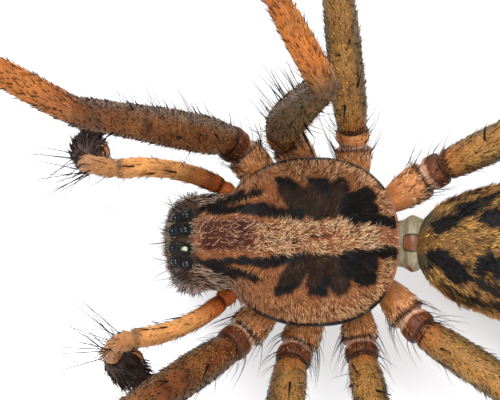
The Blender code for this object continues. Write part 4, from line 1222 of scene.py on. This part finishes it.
points = pillow_points(FLANK_OUTLINE, *FLANK_HEIGHTS)
colour = np.array(FLANK_BROWN) * (0.8 + 0.25 * ripple(points, 0.3, 91))[..., None]
FLANK_SKIN = horn("flank_skin", 0.45, 0.06, 0.012, glow=0.15)
flank = skin_piece("thorax_flank", points, [], FLANK_SKIN, colour)
coat(
    flank, points, 110, 16, (0.0, 0.5, -0.8), FLANK_HAIR,
    (points[..., 2] < 3.8) * (points[..., 1] > -1.8), 0.18, scatter=0.4, rise=0.25,
)
for name, outline, bottom, top, pale in UNDER_PLATES:
    points = pillow_points(outline, bottom, top)
    on_band = pale * np.exp(-(points[..., 0] / PALE_BAND_WIDTH) ** 2)
    colour = painted(points, STERNUM_BROWN, [(STERNUM_BAND, on_band)])
    colour = colour * (1 + 0.2 * ripple(points, 0.2, 92))[..., None]
    plate = skin_piece(f"{name}_skin", points, [name], JAW_HORN, colour)
    below = soft_step(0.0, 0.1, 0.5 * (bottom + top) - points[..., 2])
    coat(
        plate, points, 55, 13, (0.0, 0.8, -0.3), STERNUM_HAIR, below, 0.22,
        material=DARK_HAIR, scatter=0.3, rise=0.35,
    )

# Jaws
# Two stout upright chelicerae of glossy red-brown horn hang from the front of the
# head, bristled in front, each with a curved fang folded inwards at its tip.
CHELICERA = [
    # distance from the midline, y and height, with the radius there
    ((0.66, -2.86, 3.95), 0.34), ((0.70, -3.02, 3.62), 0.44), ((0.72, -3.10, 3.42), 0.50),
    ((0.73, -3.12, 3.15), 0.55), ((0.73, -3.15, 2.75), 0.58), ((0.71, -3.12, 2.30), 0.53),
    ((0.69, -3.06, 1.95), 0.45), ((0.66, -3.02, 1.78), 0.33), ((0.66, -3.01, 1.70), 0.14),
]
FANG = [
    ((0.72, -3.06, 1.74), 0.20), ((0.73, -3.05, 1.60), 0.25), ((0.72, -3.04, 1.45), 0.235),
    ((0.72, -2.99, 1.22), 0.19), ((0.63, -2.93, 1.00), 0.14), ((0.46, -2.88, 0.88), 0.09),
    ((0.28, -2.86, 0.86), 0.02),
]
JAW_DEPTH = 0.015
JAW_GAP = 0.02
JAW_RINGS = 60
JAW_SIDES = 44
FANG_RINGS = 46
FANG_SIDES = 24
JAW_RED = (0.110, 0.038, 0.018)
JAW_PALE = (0.25, 0.10, 0.035)
JAW_HAIR = (0.07, 0.035, 0.02)
FANG_BLACK = (0.012, 0.006, 0.005)
FANG_RED = (0.16, 0.03, 0.012)
FANG_HORN = horn("fang_horn", 0.18, 0.09, 0.006)


def through(knots, count):
    """Points and radii on a smooth curve through (place, radius) knots, with their shares of it."""
    places = np.array([place for place, _ in knots])
    steps = np.linalg.norm(np.diff(places, axis=0), axis=1)
    marks = np.concatenate(([0.0], np.cumsum(steps)))
    t = np.linspace(0.0, marks[-1], count)
    path = np.stack([value_at(list(zip(marks, places[:, k])), t) for k in range(3)], axis=1)
    radii = value_at(list(zip(marks, [radius for _, radius in knots])), t)
    return path, radii, (t / marks[-1])[:, None]


for side, word in ((-1, "right"), (1, "left")):
    path, radii, t = through(CHELICERA, JAW_RINGS)
    points, along, _ = tube_points(path * (side, 1, 1), -BACKWARD, radii - JAW_DEPTH, JAW_SIDES)
    points[..., 0] = side * np.maximum(points[..., 0] * side, JAW_GAP)
    colour = painted(points, JAW_RED, [
        (JAW_PALE, 0.5 * np.exp(-((t - 0.35) / 0.2) ** 2)),
        (BLACK_BROWN, soft_step(0.8, 1.0, t)),
    ]) * (1 + 0.2 * ripple(points, 0.25, 93))[..., None]
    jaw = skin_piece(f"chelicera_{word}_skin", points, [f"chelicera_{word}"], JAW_HORN, colour)
    turn = np.linspace(0.0, math.tau, JAW_SIDES, endpoint=False)[None]
    density = (0.35 + 0.65 * (np.cos(turn) > 0)) * soft_step(0.12, 0.25, t)
    coat(
        jaw, points, 70, 14, along[:, None], JAW_HAIR, density, 0.30, along=0.01 + 0.98 * t,
        material=DARK_HAIR, scatter=0.2, rise=0.35,
    )
    path, radii, t = through(FANG, FANG_RINGS)
    points, _, _ = tube_points(path * (side, 1, 1), -BACKWARD, radii, FANG_SIDES)
    colour = painted(points, FANG_BLACK, [(FANG_RED, 0.7 * soft_step(0.25, 0.7, t))])
    skin_piece(f"fang_{word}_skin", points, [f"fang_{word}"], FANG_HORN, colour)

# Palps
# Two short feelers beside the head, built like small legs. The male's ends in a dark
# furry club with the glossy palpal organ under it, and a lobe beside the mouth at its root.
PALP_BASE = (1.50, -2.40, 3.05)
PALP_ROOT = (0.66, -1.74, 2.74)
PALP_POSES = {
    # turn and lift of each part
    "palp_right": dict(side=-1, femur=(8, 18), patella=(12, -28), tibia=(24, -72), club=(98, -55)),
    "palp_left": dict(side=1, femur=(24, 30), patella=(18, -44), tibia=(60, -72), club=(142, -38)),
}
PALP_SIZES = dict(femur=2.95, patella=0.64, tibia=0.92, club=1.55)
PALP_COXA_RADII = [(0.0, 0.24), (0.35, 0.28), (0.75, 0.28), (1.0, 0.26)]
PALP_FEMUR_RADII = [(0.0, 0.25), (0.14, 0.26), (0.50, 0.26), (0.80, 0.28), (0.93, 0.28), (1.0, 0.27)]
PALP_SHIN_RADII = [
    (0.0, 0.26), (0.16, 0.28), (0.30, 0.27), (0.44, 0.25), (0.62, 0.27), (0.86, 0.28), (1.0, 0.27),
]
PALP_CLUB_RADII = [
    (0.0, 0.24), (0.15, 0.38), (0.35, 0.45), (0.55, 0.41),
    (0.75, 0.28), (0.90, 0.17), (0.97, 0.10), (1.0, 0.03),
]
MAXILLA = [
    ((0.74, -1.56, 2.64), 0.10), ((0.72, -1.66, 2.62), 0.23), ((0.66, -1.90, 2.58), 0.27),
    ((0.60, -2.10, 2.54), 0.24), ((0.56, -2.24, 2.52), 0.10),
]
PALP_SIDES = 32
PALP_DEPTH = 0.02
PALP_BOW = 14.0
PALP_STEPS = (0.10, 0.035)
PALP_ROUNDING = 0.09
PALP_THINNEST = 0.012
ORGAN_RADIUS = 0.29
ORGAN_RIDGE = 0.035
ORGAN_PLACE = 0.40
ORGAN_DROP = 0.26
ORGAN_GRID = (40, 40)
ORGAN_POLE = 0.03
LOBE_DEPTH = 0.01
LOBE_RINGS = 40
LOBE_SIDES = 30
PALP_TAN = (0.54, 0.240, 0.075)
PALP_ORANGE = (0.36, 0.080, 0.016)
PALP_SHIN_BROWN = (0.300, 0.130, 0.045)
CLUB_BROWN = (0.050, 0.030, 0.025)
PALP_HAIR = (0.72, 0.40, 0.18)
CLUB_HAIR = (0.035, 0.025, 0.022)
ORGAN_DARK = (0.05, 0.015, 0.008)
ORGAN_PALE = (0.30, 0.13, 0.05)
LOBE_RED = (0.20, 0.08, 0.035)
LOBE_PALE = (0.40, 0.24, 0.13)
PALP_LIMBS = {}
for number, (name, palp) in enumerate(PALP_POSES.items()):
    side = palp["side"]
    base, start = np.array(PALP_BASE) * (side, 1, 1), np.array(PALP_ROOT) * (side, 1, 1)
    femur = bowed(side, *palp["femur"], PALP_SIZES["femur"], turn_bow=PALP_BOW)
    rest = [(direction(side, *palp[word]), PALP_SIZES[word]) for word in ("patella", "tibia", "club")]
    club_way = rest[-1][0]
    corners, lengths = corners_of(start, [(unit(base - start), np.linalg.norm(base - start))] + femur + rest)
    root, knee, shin, wrist, tip = lengths[[1, 5, 6, 7, 8]]
    rings = stations(tip, (root, knee, shin, wrist), *PALP_STEPS)
    path = limb_path(corners, lengths, rings, PALP_ROUNDING)
    s = rings[:, None]
    tables = (PALP_COXA_RADII, PALP_FEMUR_RADII, PALP_SHIN_RADII, PALP_CLUB_RADII)
    radii = swollen(s, spliced(s, (0.0, root, knee, wrist, tip), tables) - PALP_DEPTH, (
        (root, 0.06, -0.045), (knee, 0.06, -0.04), (shin, 0.05, -0.03), (wrist, 0.06, -0.06),
    ))
    crest = unit(femur[0][0] - club_way)
    points, along, outward = tube_points(path, crest, np.maximum(radii, PALP_THINNEST), PALP_SIDES)
    rims = swollen(s, 0.0, ((root + 0.10, 0.05, 0.8), (root + 0.42, 0.05, 0.5), (knee - 0.08, 0.05, 0.6)))
    colour = painted(points, PALP_TAN, [
        (PALP_ORANGE, 1 - soft_step(root + 0.1, root + 1.4, s)),
        (PALP_SHIN_BROWN, soft_step(knee - 0.5, knee + 0.1, s)),
        (CLUB_BROWN, soft_step(wrist - 0.25, wrist + 0.1, s)),
        (BLACK_BROWN, np.clip(rims, 0, 1)),
    ]) * (1 + 0.15 * ripple(points, 0.3, 94 + number))[..., None]
    replaced = [f"{name}_{word}" for word in ("coxa", "femur", "tibia", "club")]
    skin = skin_piece(f"{name}_skin", points, replaced, LEG_HORN, colour)
    club = soft_step(wrist - 0.3, wrist + 0.1, s)
    clear = swollen(s, 1.0, ((root, 0.1, -1.0), (knee, 0.08, -0.6)))
    coat(
        skin, points, 190, 120 + number, along[:, None],
        painted(points, PALP_HAIR, [(CLUB_HAIR, club)]),
        np.clip((0.45 + 0.8 * club) * clear * soft_step(0.2, 0.4, s), 0, 2), 0.12 + 0.14 * club,
        along=0.01 + 0.98 * s / tip, scatter=0.25, rise=0.25, dark=0.45,
    )
    joints = (root, knee, shin, wrist)
    PALP_LIMBS[name] = dict(rings=rings, points=points, along=along, outward=outward, joints=joints, tip=tip)

    below = unit(club_way * (club_way @ femur[-1][0]) - femur[-1][0])
    centre = corners[-2] + club_way * ORGAN_PLACE * PALP_SIZES["club"] + below * ORGAN_DROP
    ball, tilt, swirl = globe(*ORGAN_GRID, ORGAN_POLE)
    ridge = ORGAN_RIDGE * np.sin(3 * swirl + 9 * tilt)
    points = centre + ball * (ORGAN_RADIUS + ridge)[..., None]
    colour = painted(points, ORGAN_DARK, [(ORGAN_PALE, soft_step(-0.02, 0.03, ridge))])
    skin_piece(f"{name}_organ", points, [], FANG_HORN, colour)
    path, radii, t = through(MAXILLA, LOBE_RINGS)
    points, _, _ = tube_points(path * (side, 1, 1), UP, radii - LOBE_DEPTH, LOBE_SIDES)
    colour = painted(points, LOBE_RED, [(LOBE_PALE, 0.6 * soft_step(0.7, 1.0, t))])
    skin_piece(f"{name}_lobe", points, [], JAW_HORN, colour)

# Spinnerets
# Three pairs of jointed silk fingers at the rear, the upper pair longest, dusky brown
# and hairy. They stand on a low cone at the end of the abdomen.
SPINNERETS = [
    # name, distance from the midline, height on the cone, length, radius, lift
    ("front", 0.30, -0.18, 0.80, 0.20, -14.0), ("middle", 0.14, 0.02, 0.60, 0.12, 0.0),
    ("rear", 0.30, 0.10, 1.25, 0.17, 12.0),
]
SPINNERET_ROOT = np.array((0.0, 9.64, 2.76))
MOUNT_RADII = [(-0.35, 0.70), (0.0, 0.60), (0.30, 0.49), (0.55, 0.38), (0.66, 0.22), (0.70, 0.06)]
FINGER_PROFILE = [
    (-0.2, 0.9), (0.0, 1.0), (0.40, 0.92), (0.50, 0.80),
    (0.56, 0.84), (0.85, 0.55), (0.97, 0.35), (1.0, 0.10),
]
MOUNT_RINGS = 30
MOUNT_SIDES = 40
FINGER_ROOT = 0.42
FINGER_SPREAD = 0.16
FINGER_RINGS = 44
FINGER_SIDES = 24
MOUNT_BROWN = (0.10, 0.06, 0.035)
FINGER_BROWN = (0.16, 0.09, 0.045)
FINGER_PALE = (0.30, 0.20, 0.11)
spin_root = abdomen_frame(SPINNERET_ROOT)
spin_back = abdomen_frame(SPINNERET_ROOT + BACKWARD) - spin_root
spin_left = abdomen_frame(SPINNERET_ROOT + (1.0, 0.0, 0.0)) - spin_root
y = np.linspace(MOUNT_RADII[0][0], MOUNT_RADII[-1][0], MOUNT_RINGS)
points, _, _ = tube_points(spin_root + y[:, None] * spin_back, UP, value_at(MOUNT_RADII, y), MOUNT_SIDES)
colour = np.array(MOUNT_BROWN) * (1 + 0.2 * ripple(points, 0.2, 95))[..., None]
skin_piece("spinneret_mount", points, ["spinnerets"], ABDOMEN_SKIN, colour)
t = np.linspace(FINGER_PROFILE[0][0], FINGER_PROFILE[-1][0], FINGER_RINGS)[:, None]
for word, across, above, size, thick, lift in SPINNERETS:
    for side, hand in ((-1, "right"), (1, "left")):
        way = unit(spin_back + UP * math.tan(math.radians(lift)) + spin_left * side * FINGER_SPREAD)
        foot = spin_root + spin_back * FINGER_ROOT + spin_left * across * side + UP * above
        radii = thick * value_at(FINGER_PROFILE, t)
        points, along, _ = tube_points(foot + way * (t * size), UP, radii, FINGER_SIDES)
        colour = painted(points, FINGER_BROWN, [(FINGER_PALE, soft_step(0.5, 0.6, t))])
        finger = skin_piece(f"spinneret_{word}_{hand}", points, [], ABDOMEN_SKIN, colour)
        coat(
            finger, points, 150, 15, along[:, None], MOUNT_BROWN, soft_step(0.0, 0.1, t), 0.17,
            along=0.1 + 0.7 * t, material=DARK_HAIR, scatter=0.25, rise=0.25,
        )

# Bristles, spines and claws
# Long thin dark bristles stand on the legs, palps and face. Stout black spines lie
# along the legs, and each foot ends in two curved claws and a small third one.
BRISTLE_SUNK = 0.03
BRISTLE_TAPER = 0.92
BRISTLE_BLACK = np.array((0.012, 0.009, 0.008))
BRISTLE_FINISH = hair_finish("bristle", 0.32)
BRISTLE_RADIUS = 0.010
SHORT_BRISTLE_RADIUS = 0.008
SHORT_BRISTLE = 0.6
FACE_BRISTLE_RADIUS = 0.012
FEELER_RADIUS = 0.014
PALP_SPINE_RADIUS = 0.024
FAN_BRISTLES = 110
PALP_FEELERS = 18
FACE_BRISTLES = 46
SPINE_RADIUS = 0.034
SPINE_BEND = 0.15
CLAW_RADIUS = 0.030
CLAWS_ACROSS = 0.03
CLAW_LENGTH = 0.26
CLAW_LIFT = 0.15
CLAW_SPLAY = 0.22
CLAW_TIP_HEIGHT = 0.012
THIRD_CLAW_LENGTH = 0.14
BAKE_CELLS = 64
FEMUR_SPINES = {
    # place along the leg, turn from the top, and the spine's reach along, across and out, in mm
    "leg1_right": [
        (3.78, 20, (0.46, -0.25, 0.48)), (4.58, 10, (0.58, -0.10, 0.18)), (5.58, 350, (0.58, -0.03, 0.16)),
    ],
    "leg1_left": [(3.59, 350, (0.74, -0.24, 0.22)), (5.20, 20, (0.60, 0.10, 0.30))],
    "leg2_right": [(3.57, 30, (0.20, -0.67, 0.91)), (6.40, 350, (0.50, 0.10, 0.50))],
    "leg2_left": [(3.39, 10, (0.74, -0.01, 0.10)), (6.10, 340, (0.55, 0.10, 0.40))],
    "leg3_right": [
        (2.99, 350, (0.05, 0.15, 0.84)), (3.59, 40, (0.72, -0.02, 0.32)),
        (5.19, 30, (0.40, -0.31, 0.62)), (4.79, 350, (0.41, 0.02, 0.56)),
    ],
    "leg3_left": [
        (2.19, 40, (0.70, -0.24, 0.10)), (3.59, 330, (0.62, -0.19, 0.46)), (5.80, 20, (0.60, 0.00, 0.40)),
    ],
    "leg4_right": [(3.40, 340, (0.32, -0.05, 0.72)), (5.60, 20, (0.60, 0.05, 0.40))],
    "leg4_left": [(2.60, 10, (0.41, -0.16, 0.40)), (4.40, 340, (0.60, 0.10, 0.40))],
}
SPINES = (
    # which joint, place past it, turn from the top, length: on the femur, the tibia and the foot
    (1, 5.6, 70, 0.75), (1, 6.4, -50, 0.60),
    (3, 1.2, 160, 0.95), (3, 2.8, 200, 1.00), (3, 4.4, 165, 0.95),
    (3, 5.6, 195, 0.80), (3, 2.0, 60, 0.80), (3, 3.8, -60, 0.80),
    (4, 0.4, 165, 0.80), (4, 0.5, 195, 0.80), (4, 2.4, 90, 0.75), (4, 2.6, -90, 0.75),
    (4, 4.6, 170, 0.70), (4, 6.8, 190, 0.60), (4, 7.0, 90, 0.60),
)


def bristle_shape(name, sides, rings):
    """One straight tapering bristle, a metre long in z and a metre in radius, closed at its ends."""
    turns = [math.tau * i / sides for i in range(sides)]
    points = []
    for t in np.linspace(0.0, 1.0, rings + 1):
        radius = 1 - BRISTLE_TAPER * t ** 1.3
        points += [(radius * math.cos(a), radius * math.sin(a), t) for a in turns]
    faces = [list(range(sides)), list(range(rings * sides + sides - 1, rings * sides - 1, -1))]
    for low in range(0, rings * sides, sides):
        for i in range(sides):
            j = (i + 1) % sides
            faces.append((low + sides + i, low + sides + j, low + j, low + i))
    mesh = bpy.data.meshes.new(name)
    mesh.from_pydata(points, [], faces)
    mesh.shade_smooth()
    fade = 0.7 + 0.6 * np.linspace(0.0, 1.0, len(points))
    give(mesh, "hair_colour", BRISTLE_BLACK * fade[:, None], (len(points), 3))
    return bpy.data.objects.new(name, mesh)


def bristle_tree():
    """Geometry nodes: a bristle on each point, bent from its way by its bow."""
    tree, given = new_tree("bristles", {"Sunk": "Float", "Shape": "Object", "Material": "Material"})
    shape = add(tree, "GeometryNodeObjectInfo", {"Object": given["Shape"]}).outputs["Geometry"]
    marked = add(tree, "GeometryNodeStoreNamedAttribute", {
        "Geometry": shape, "Name": "shape", "Value": add(tree, "GeometryNodeInputPosition", {}).outputs[0],
    }, data_type="FLOAT_VECTOR", domain="POINT").outputs["Geometry"]
    real = real_copies(tree, given["Geometry"], {"Instance": marked})
    place = add(tree, "ShaderNodeSeparateXYZ", {"Vector": layer(tree, "shape")}).outputs
    t = place["Z"]
    size = layer(tree, "size", "FLOAT")
    way, bow, across = (layer(tree, name) for name in ("way", "bow", "across"))
    reach = maths(tree, "SUBTRACT", maths(tree, "MULTIPLY", size, t), given["Sunk"])
    bend = maths(tree, "MULTIPLY", size, maths(tree, "MULTIPLY", t, t))
    middle = vectors(tree, "ADD", layer(tree, "foot"), scaled(tree, way, reach))
    middle = vectors(tree, "ADD", middle, scaled(tree, bow, bend))
    heading = vectors(tree, "ADD", way, scaled(tree, bow, maths(tree, "MULTIPLY", t, 2.0)))
    over = vectors(tree, "NORMALIZE", vectors(tree, "CROSS_PRODUCT", across, heading))
    ring = vectors(tree, "ADD", scaled(tree, across, place["X"]), scaled(tree, over, place["Y"]))
    skin = vectors(tree, "ADD", middle, scaled(tree, ring, layer(tree, "thickness", "FLOAT")))
    bent = add(tree, "GeometryNodeSetPosition", {"Geometry": real, "Position": skin}).outputs["Geometry"]
    finish_tree(tree, bent, given["Material"])
    return tree


BRISTLE_TREE = bristle_tree()
THIN_BRISTLE = bristle_shape("thin_bristle", 4, 6)
STOUT_BRISTLE = bristle_shape("stout_bristle", 8, 8)


def bristles(name, shape, rows):
    """Tapering curved bristles from (root, way, side it bends to, length, radius, bend) rows."""
    roots, ways, outs, sizes, radii, bends = (np.array(column, dtype=float) for column in zip(*rows))
    count = len(rows)
    base = bpy.data.meshes.new(name)
    base.from_pydata(in_row(roots).tolist(), [], [])
    give(base, "foot", in_row(roots), (count, 3))
    give(base, "way", ways, (count, 3))
    give(base, "bow", outs * bends[:, None], (count, 3))
    give(base, "across", unit(np.cross(ways, outs)), (count, 3))
    give(base, "size", sizes * MM, (count,))
    give(base, "thickness", radii * MM, (count,))
    mesh = grown(base, BRISTLE_TREE, {"Sunk": BRISTLE_SUNK * MM, "Shape": shape, "Material": BRISTLE_FINISH})
    which = np.arange(len(mesh.vertices)) // len(shape.data.vertices)
    place = read(mesh, "shape", "vector", 3)
    turn = np.arctan2(place[:, 1], place[:, 0]) / math.tau % 1.0
    cell = np.stack((which % BAKE_CELLS, which // BAKE_CELLS), axis=1) / BAKE_CELLS + 0.004
    bake_map(mesh, cell + np.stack((turn, place[:, 2]), axis=1) * BAKE_PATCH)
    for used in ("foot", "way", "bow", "across", "size", "thickness", "shape"):
        mesh.attributes.remove(mesh.attributes[used])
    return on_body(name, mesh)


def on_limb(limb, place, turn):
    """Point, way and outward direction on a limb's skin at a place along it and a turn from its top."""
    rings = limb["rings"]
    i = int(np.clip(np.searchsorted(rings, place), 1, len(rings) - 1))
    sides = limb["points"].shape[1]
    j = int(round(turn / 360.0 * sides)) % sides
    return limb["points"][i, j], limb["along"][i], limb["outward"][i, j]


chance = np.random.default_rng(7)
for name, limb in LEG_LIMBS.items():
    trochanter, root, knee, shin, ankle, tarsus = limb["joints"]
    tip = limb["tip"]
    zones = (
        # first, last place along the leg, number, shortest, longest, lean out, turn of the middle, spread
        (0.5, trochanter - 0.2, 16, 0.20, 0.45, 0.8, 0, 180),
        (trochanter - 0.30, trochanter, 24, 0.35, 0.85, 1.0, 0, 180),
        (root - 0.30, root + 0.15, 22, 0.35, 0.80, 1.1, 0, 180),
        (root + 0.2, knee - 0.1, 170, 0.20, 0.42, 0.7, 0, 180),
        (root + 0.4, knee - 0.3, 14, 0.50, 0.80, 1.3, 0, 70),
        (knee - 0.1, knee + 2.3, 60, 0.22, 0.50, 0.8, 0, 180),
        (shin, ankle, 110, 0.22, 0.50, 0.8, 0, 180),
        (ankle, tarsus, 90, 0.20, 0.40, 0.7, 180, 180),
        (tarsus, tip - 0.4, 40, 0.14, 0.26, 0.6, 0, 120),
    )
    rows = []
    for first, last, count, short, long, lean, turn, spread in zones:
        radius = SHORT_BRISTLE_RADIUS if long < SHORT_BRISTLE else BRISTLE_RADIUS
        for _ in range(count):
            place = chance.uniform(first, last)
            point, way, outward = on_limb(limb, place, turn + chance.uniform(-spread, spread))
            leaning = unit(way + lean * outward + 0.15 * chance.normal(size=3))
            size = chance.uniform(short, long)
            rows.append((point, leaning, unit(way - 0.2 * outward), size, radius, chance.uniform(0.2, 0.8)))
    fan = unit(np.array((0.80 * POSES[name]["side"], -0.55, 0.15)))
    for _ in range(FAN_BRISTLES if POSES[name]["pair"] < 3 else 0):
        point, way, outward = on_limb(limb, chance.uniform(root + 0.8, knee - 1.5), chance.uniform(0, 360))
        if outward @ fan >= 0.6:
            leaning = unit(fan + 0.3 * outward + 0.12 * chance.normal(size=3))
            size = chance.uniform(0.4, 1.3)
            rows.append((point, leaning, way, size, BRISTLE_RADIUS, chance.uniform(0.0, 0.15)))
    bristles(f"{name}_bristles", THIN_BRISTLE, rows)

for name, limb in LEG_LIMBS.items():
    rows = []
    for joint, past, turn, size in SPINES:
        place = limb["joints"][joint] + past
        if place <= limb["tip"] - 1.2:
            shifted = place + chance.uniform(-0.25, 0.25)
            point, way, outward = on_limb(limb, shifted, turn + chance.uniform(-12, 12))
            rows.append((point, unit(way + 0.45 * outward), way, size, SPINE_RADIUS, SPINE_BEND))
    for place, turn, (ahead, aside, away) in FEMUR_SPINES[name]:
        point, way, outward = on_limb(limb, place, turn)
        reach = ahead * way + aside * np.cross(way, outward) + away * outward
        rows.append((point, unit(reach), way, np.linalg.norm(reach), SPINE_RADIUS, SPINE_BEND))
    bristles(f"{name}_spines", STOUT_BRISTLE, rows)

    end = limb["points"][-1].mean(axis=0)
    level = unit(limb["along"][-1] * (1.0, 1.0, 0.0))
    across = unit(np.cross(level, UP))
    drop = end[2] - CLAW_TIP_HEIGHT
    bend = -(drop + CLAW_LIFT * 0.25) / CLAW_LENGTH
    rows = []
    for side in (1, -1):
        way = unit(level + CLAW_LIFT * UP + CLAW_SPLAY * side * across)
        rows.append((end + side * CLAWS_ACROSS * across, way, UP, CLAW_LENGTH, CLAW_RADIUS, bend))
    third_bend = -0.55 * drop / THIRD_CLAW_LENGTH
    rows.append((end - 0.02 * level, unit(level), UP, THIRD_CLAW_LENGTH, CLAW_RADIUS, third_bend))
    bristles(f"{name}_claws", STOUT_BRISTLE, rows)

for name, limb in PALP_LIMBS.items():
    root, knee, shin, wrist = limb["joints"]
    inward = -PALP_POSES[name]["side"]
    zones = (
        # first, last place along the palp, number, shortest, longest, lean out
        (root + 0.3, knee, 26, 0.20, 0.45, 0.8), (knee, wrist, 20, 0.40, 0.90, 1.3),
        (wrist, limb["tip"] - 0.1, 40, 0.30, 0.70, 1.1),
    )
    rows = []
    for first, last, count, short, long, lean in zones:
        for _ in range(count):
            point, way, outward = on_limb(limb, chance.uniform(first, last), chance.uniform(0, 360))
            leaning = unit(way + lean * outward + 0.2 * chance.normal(size=3))
            size = chance.uniform(short, long)
            rows.append((point, leaning, way, size, BRISTLE_RADIUS, chance.uniform(0.0, 0.35)))
    for _ in range(PALP_FEELERS):
        point, way, outward = on_limb(limb, chance.uniform(knee + 0.3, wrist + 0.3), chance.uniform(0, 360))
        fan = np.array((inward * chance.uniform(-0.5, 1.3), -1.0, 0.4 * chance.uniform(-1, 1)))
        leaning = unit(fan + 0.3 * outward)
        size = chance.uniform(1.0, 2.4)
        rows.append((point, leaning, (0.0, -0.3, -0.5), size, FEELER_RADIUS, chance.uniform(0.05, 0.3)))
    for share, turn in ((0.45, 10), (0.66, -20), (0.85, 15)):
        point, way, outward = on_limb(limb, root + share * (knee - root), turn)
        rows.append((point, unit(way + 0.3 * outward), way, 0.55, PALP_SPINE_RADIUS, 0.1))
    bristles(f"{name}_bristles", THIN_BRISTLE, rows)

rows = []
while len(rows) < FACE_BRISTLES:
    x = chance.uniform(-1.08, 1.08)
    y = chance.uniform(-3.80, -3.20) + 0.45 * max(0.0, abs(x) - 0.6)
    if abs(x) <= 0.97 * carapace_half_width(y):
        point = (x, y, carapace_height(x, y) - SKIN_DEPTH)
        way = unit(np.array((0.75 * x, -0.9, 0.35)) + 0.28 * chance.normal(size=3))
        out = (0.4 * chance.normal(), 0.3 * chance.normal(), 0.5)
        rows.append((point, way, out, chance.uniform(0.35, 0.85), FACE_BRISTLE_RADIUS, 0.35))
bristles("face_bristles", THIN_BRISTLE, rows)
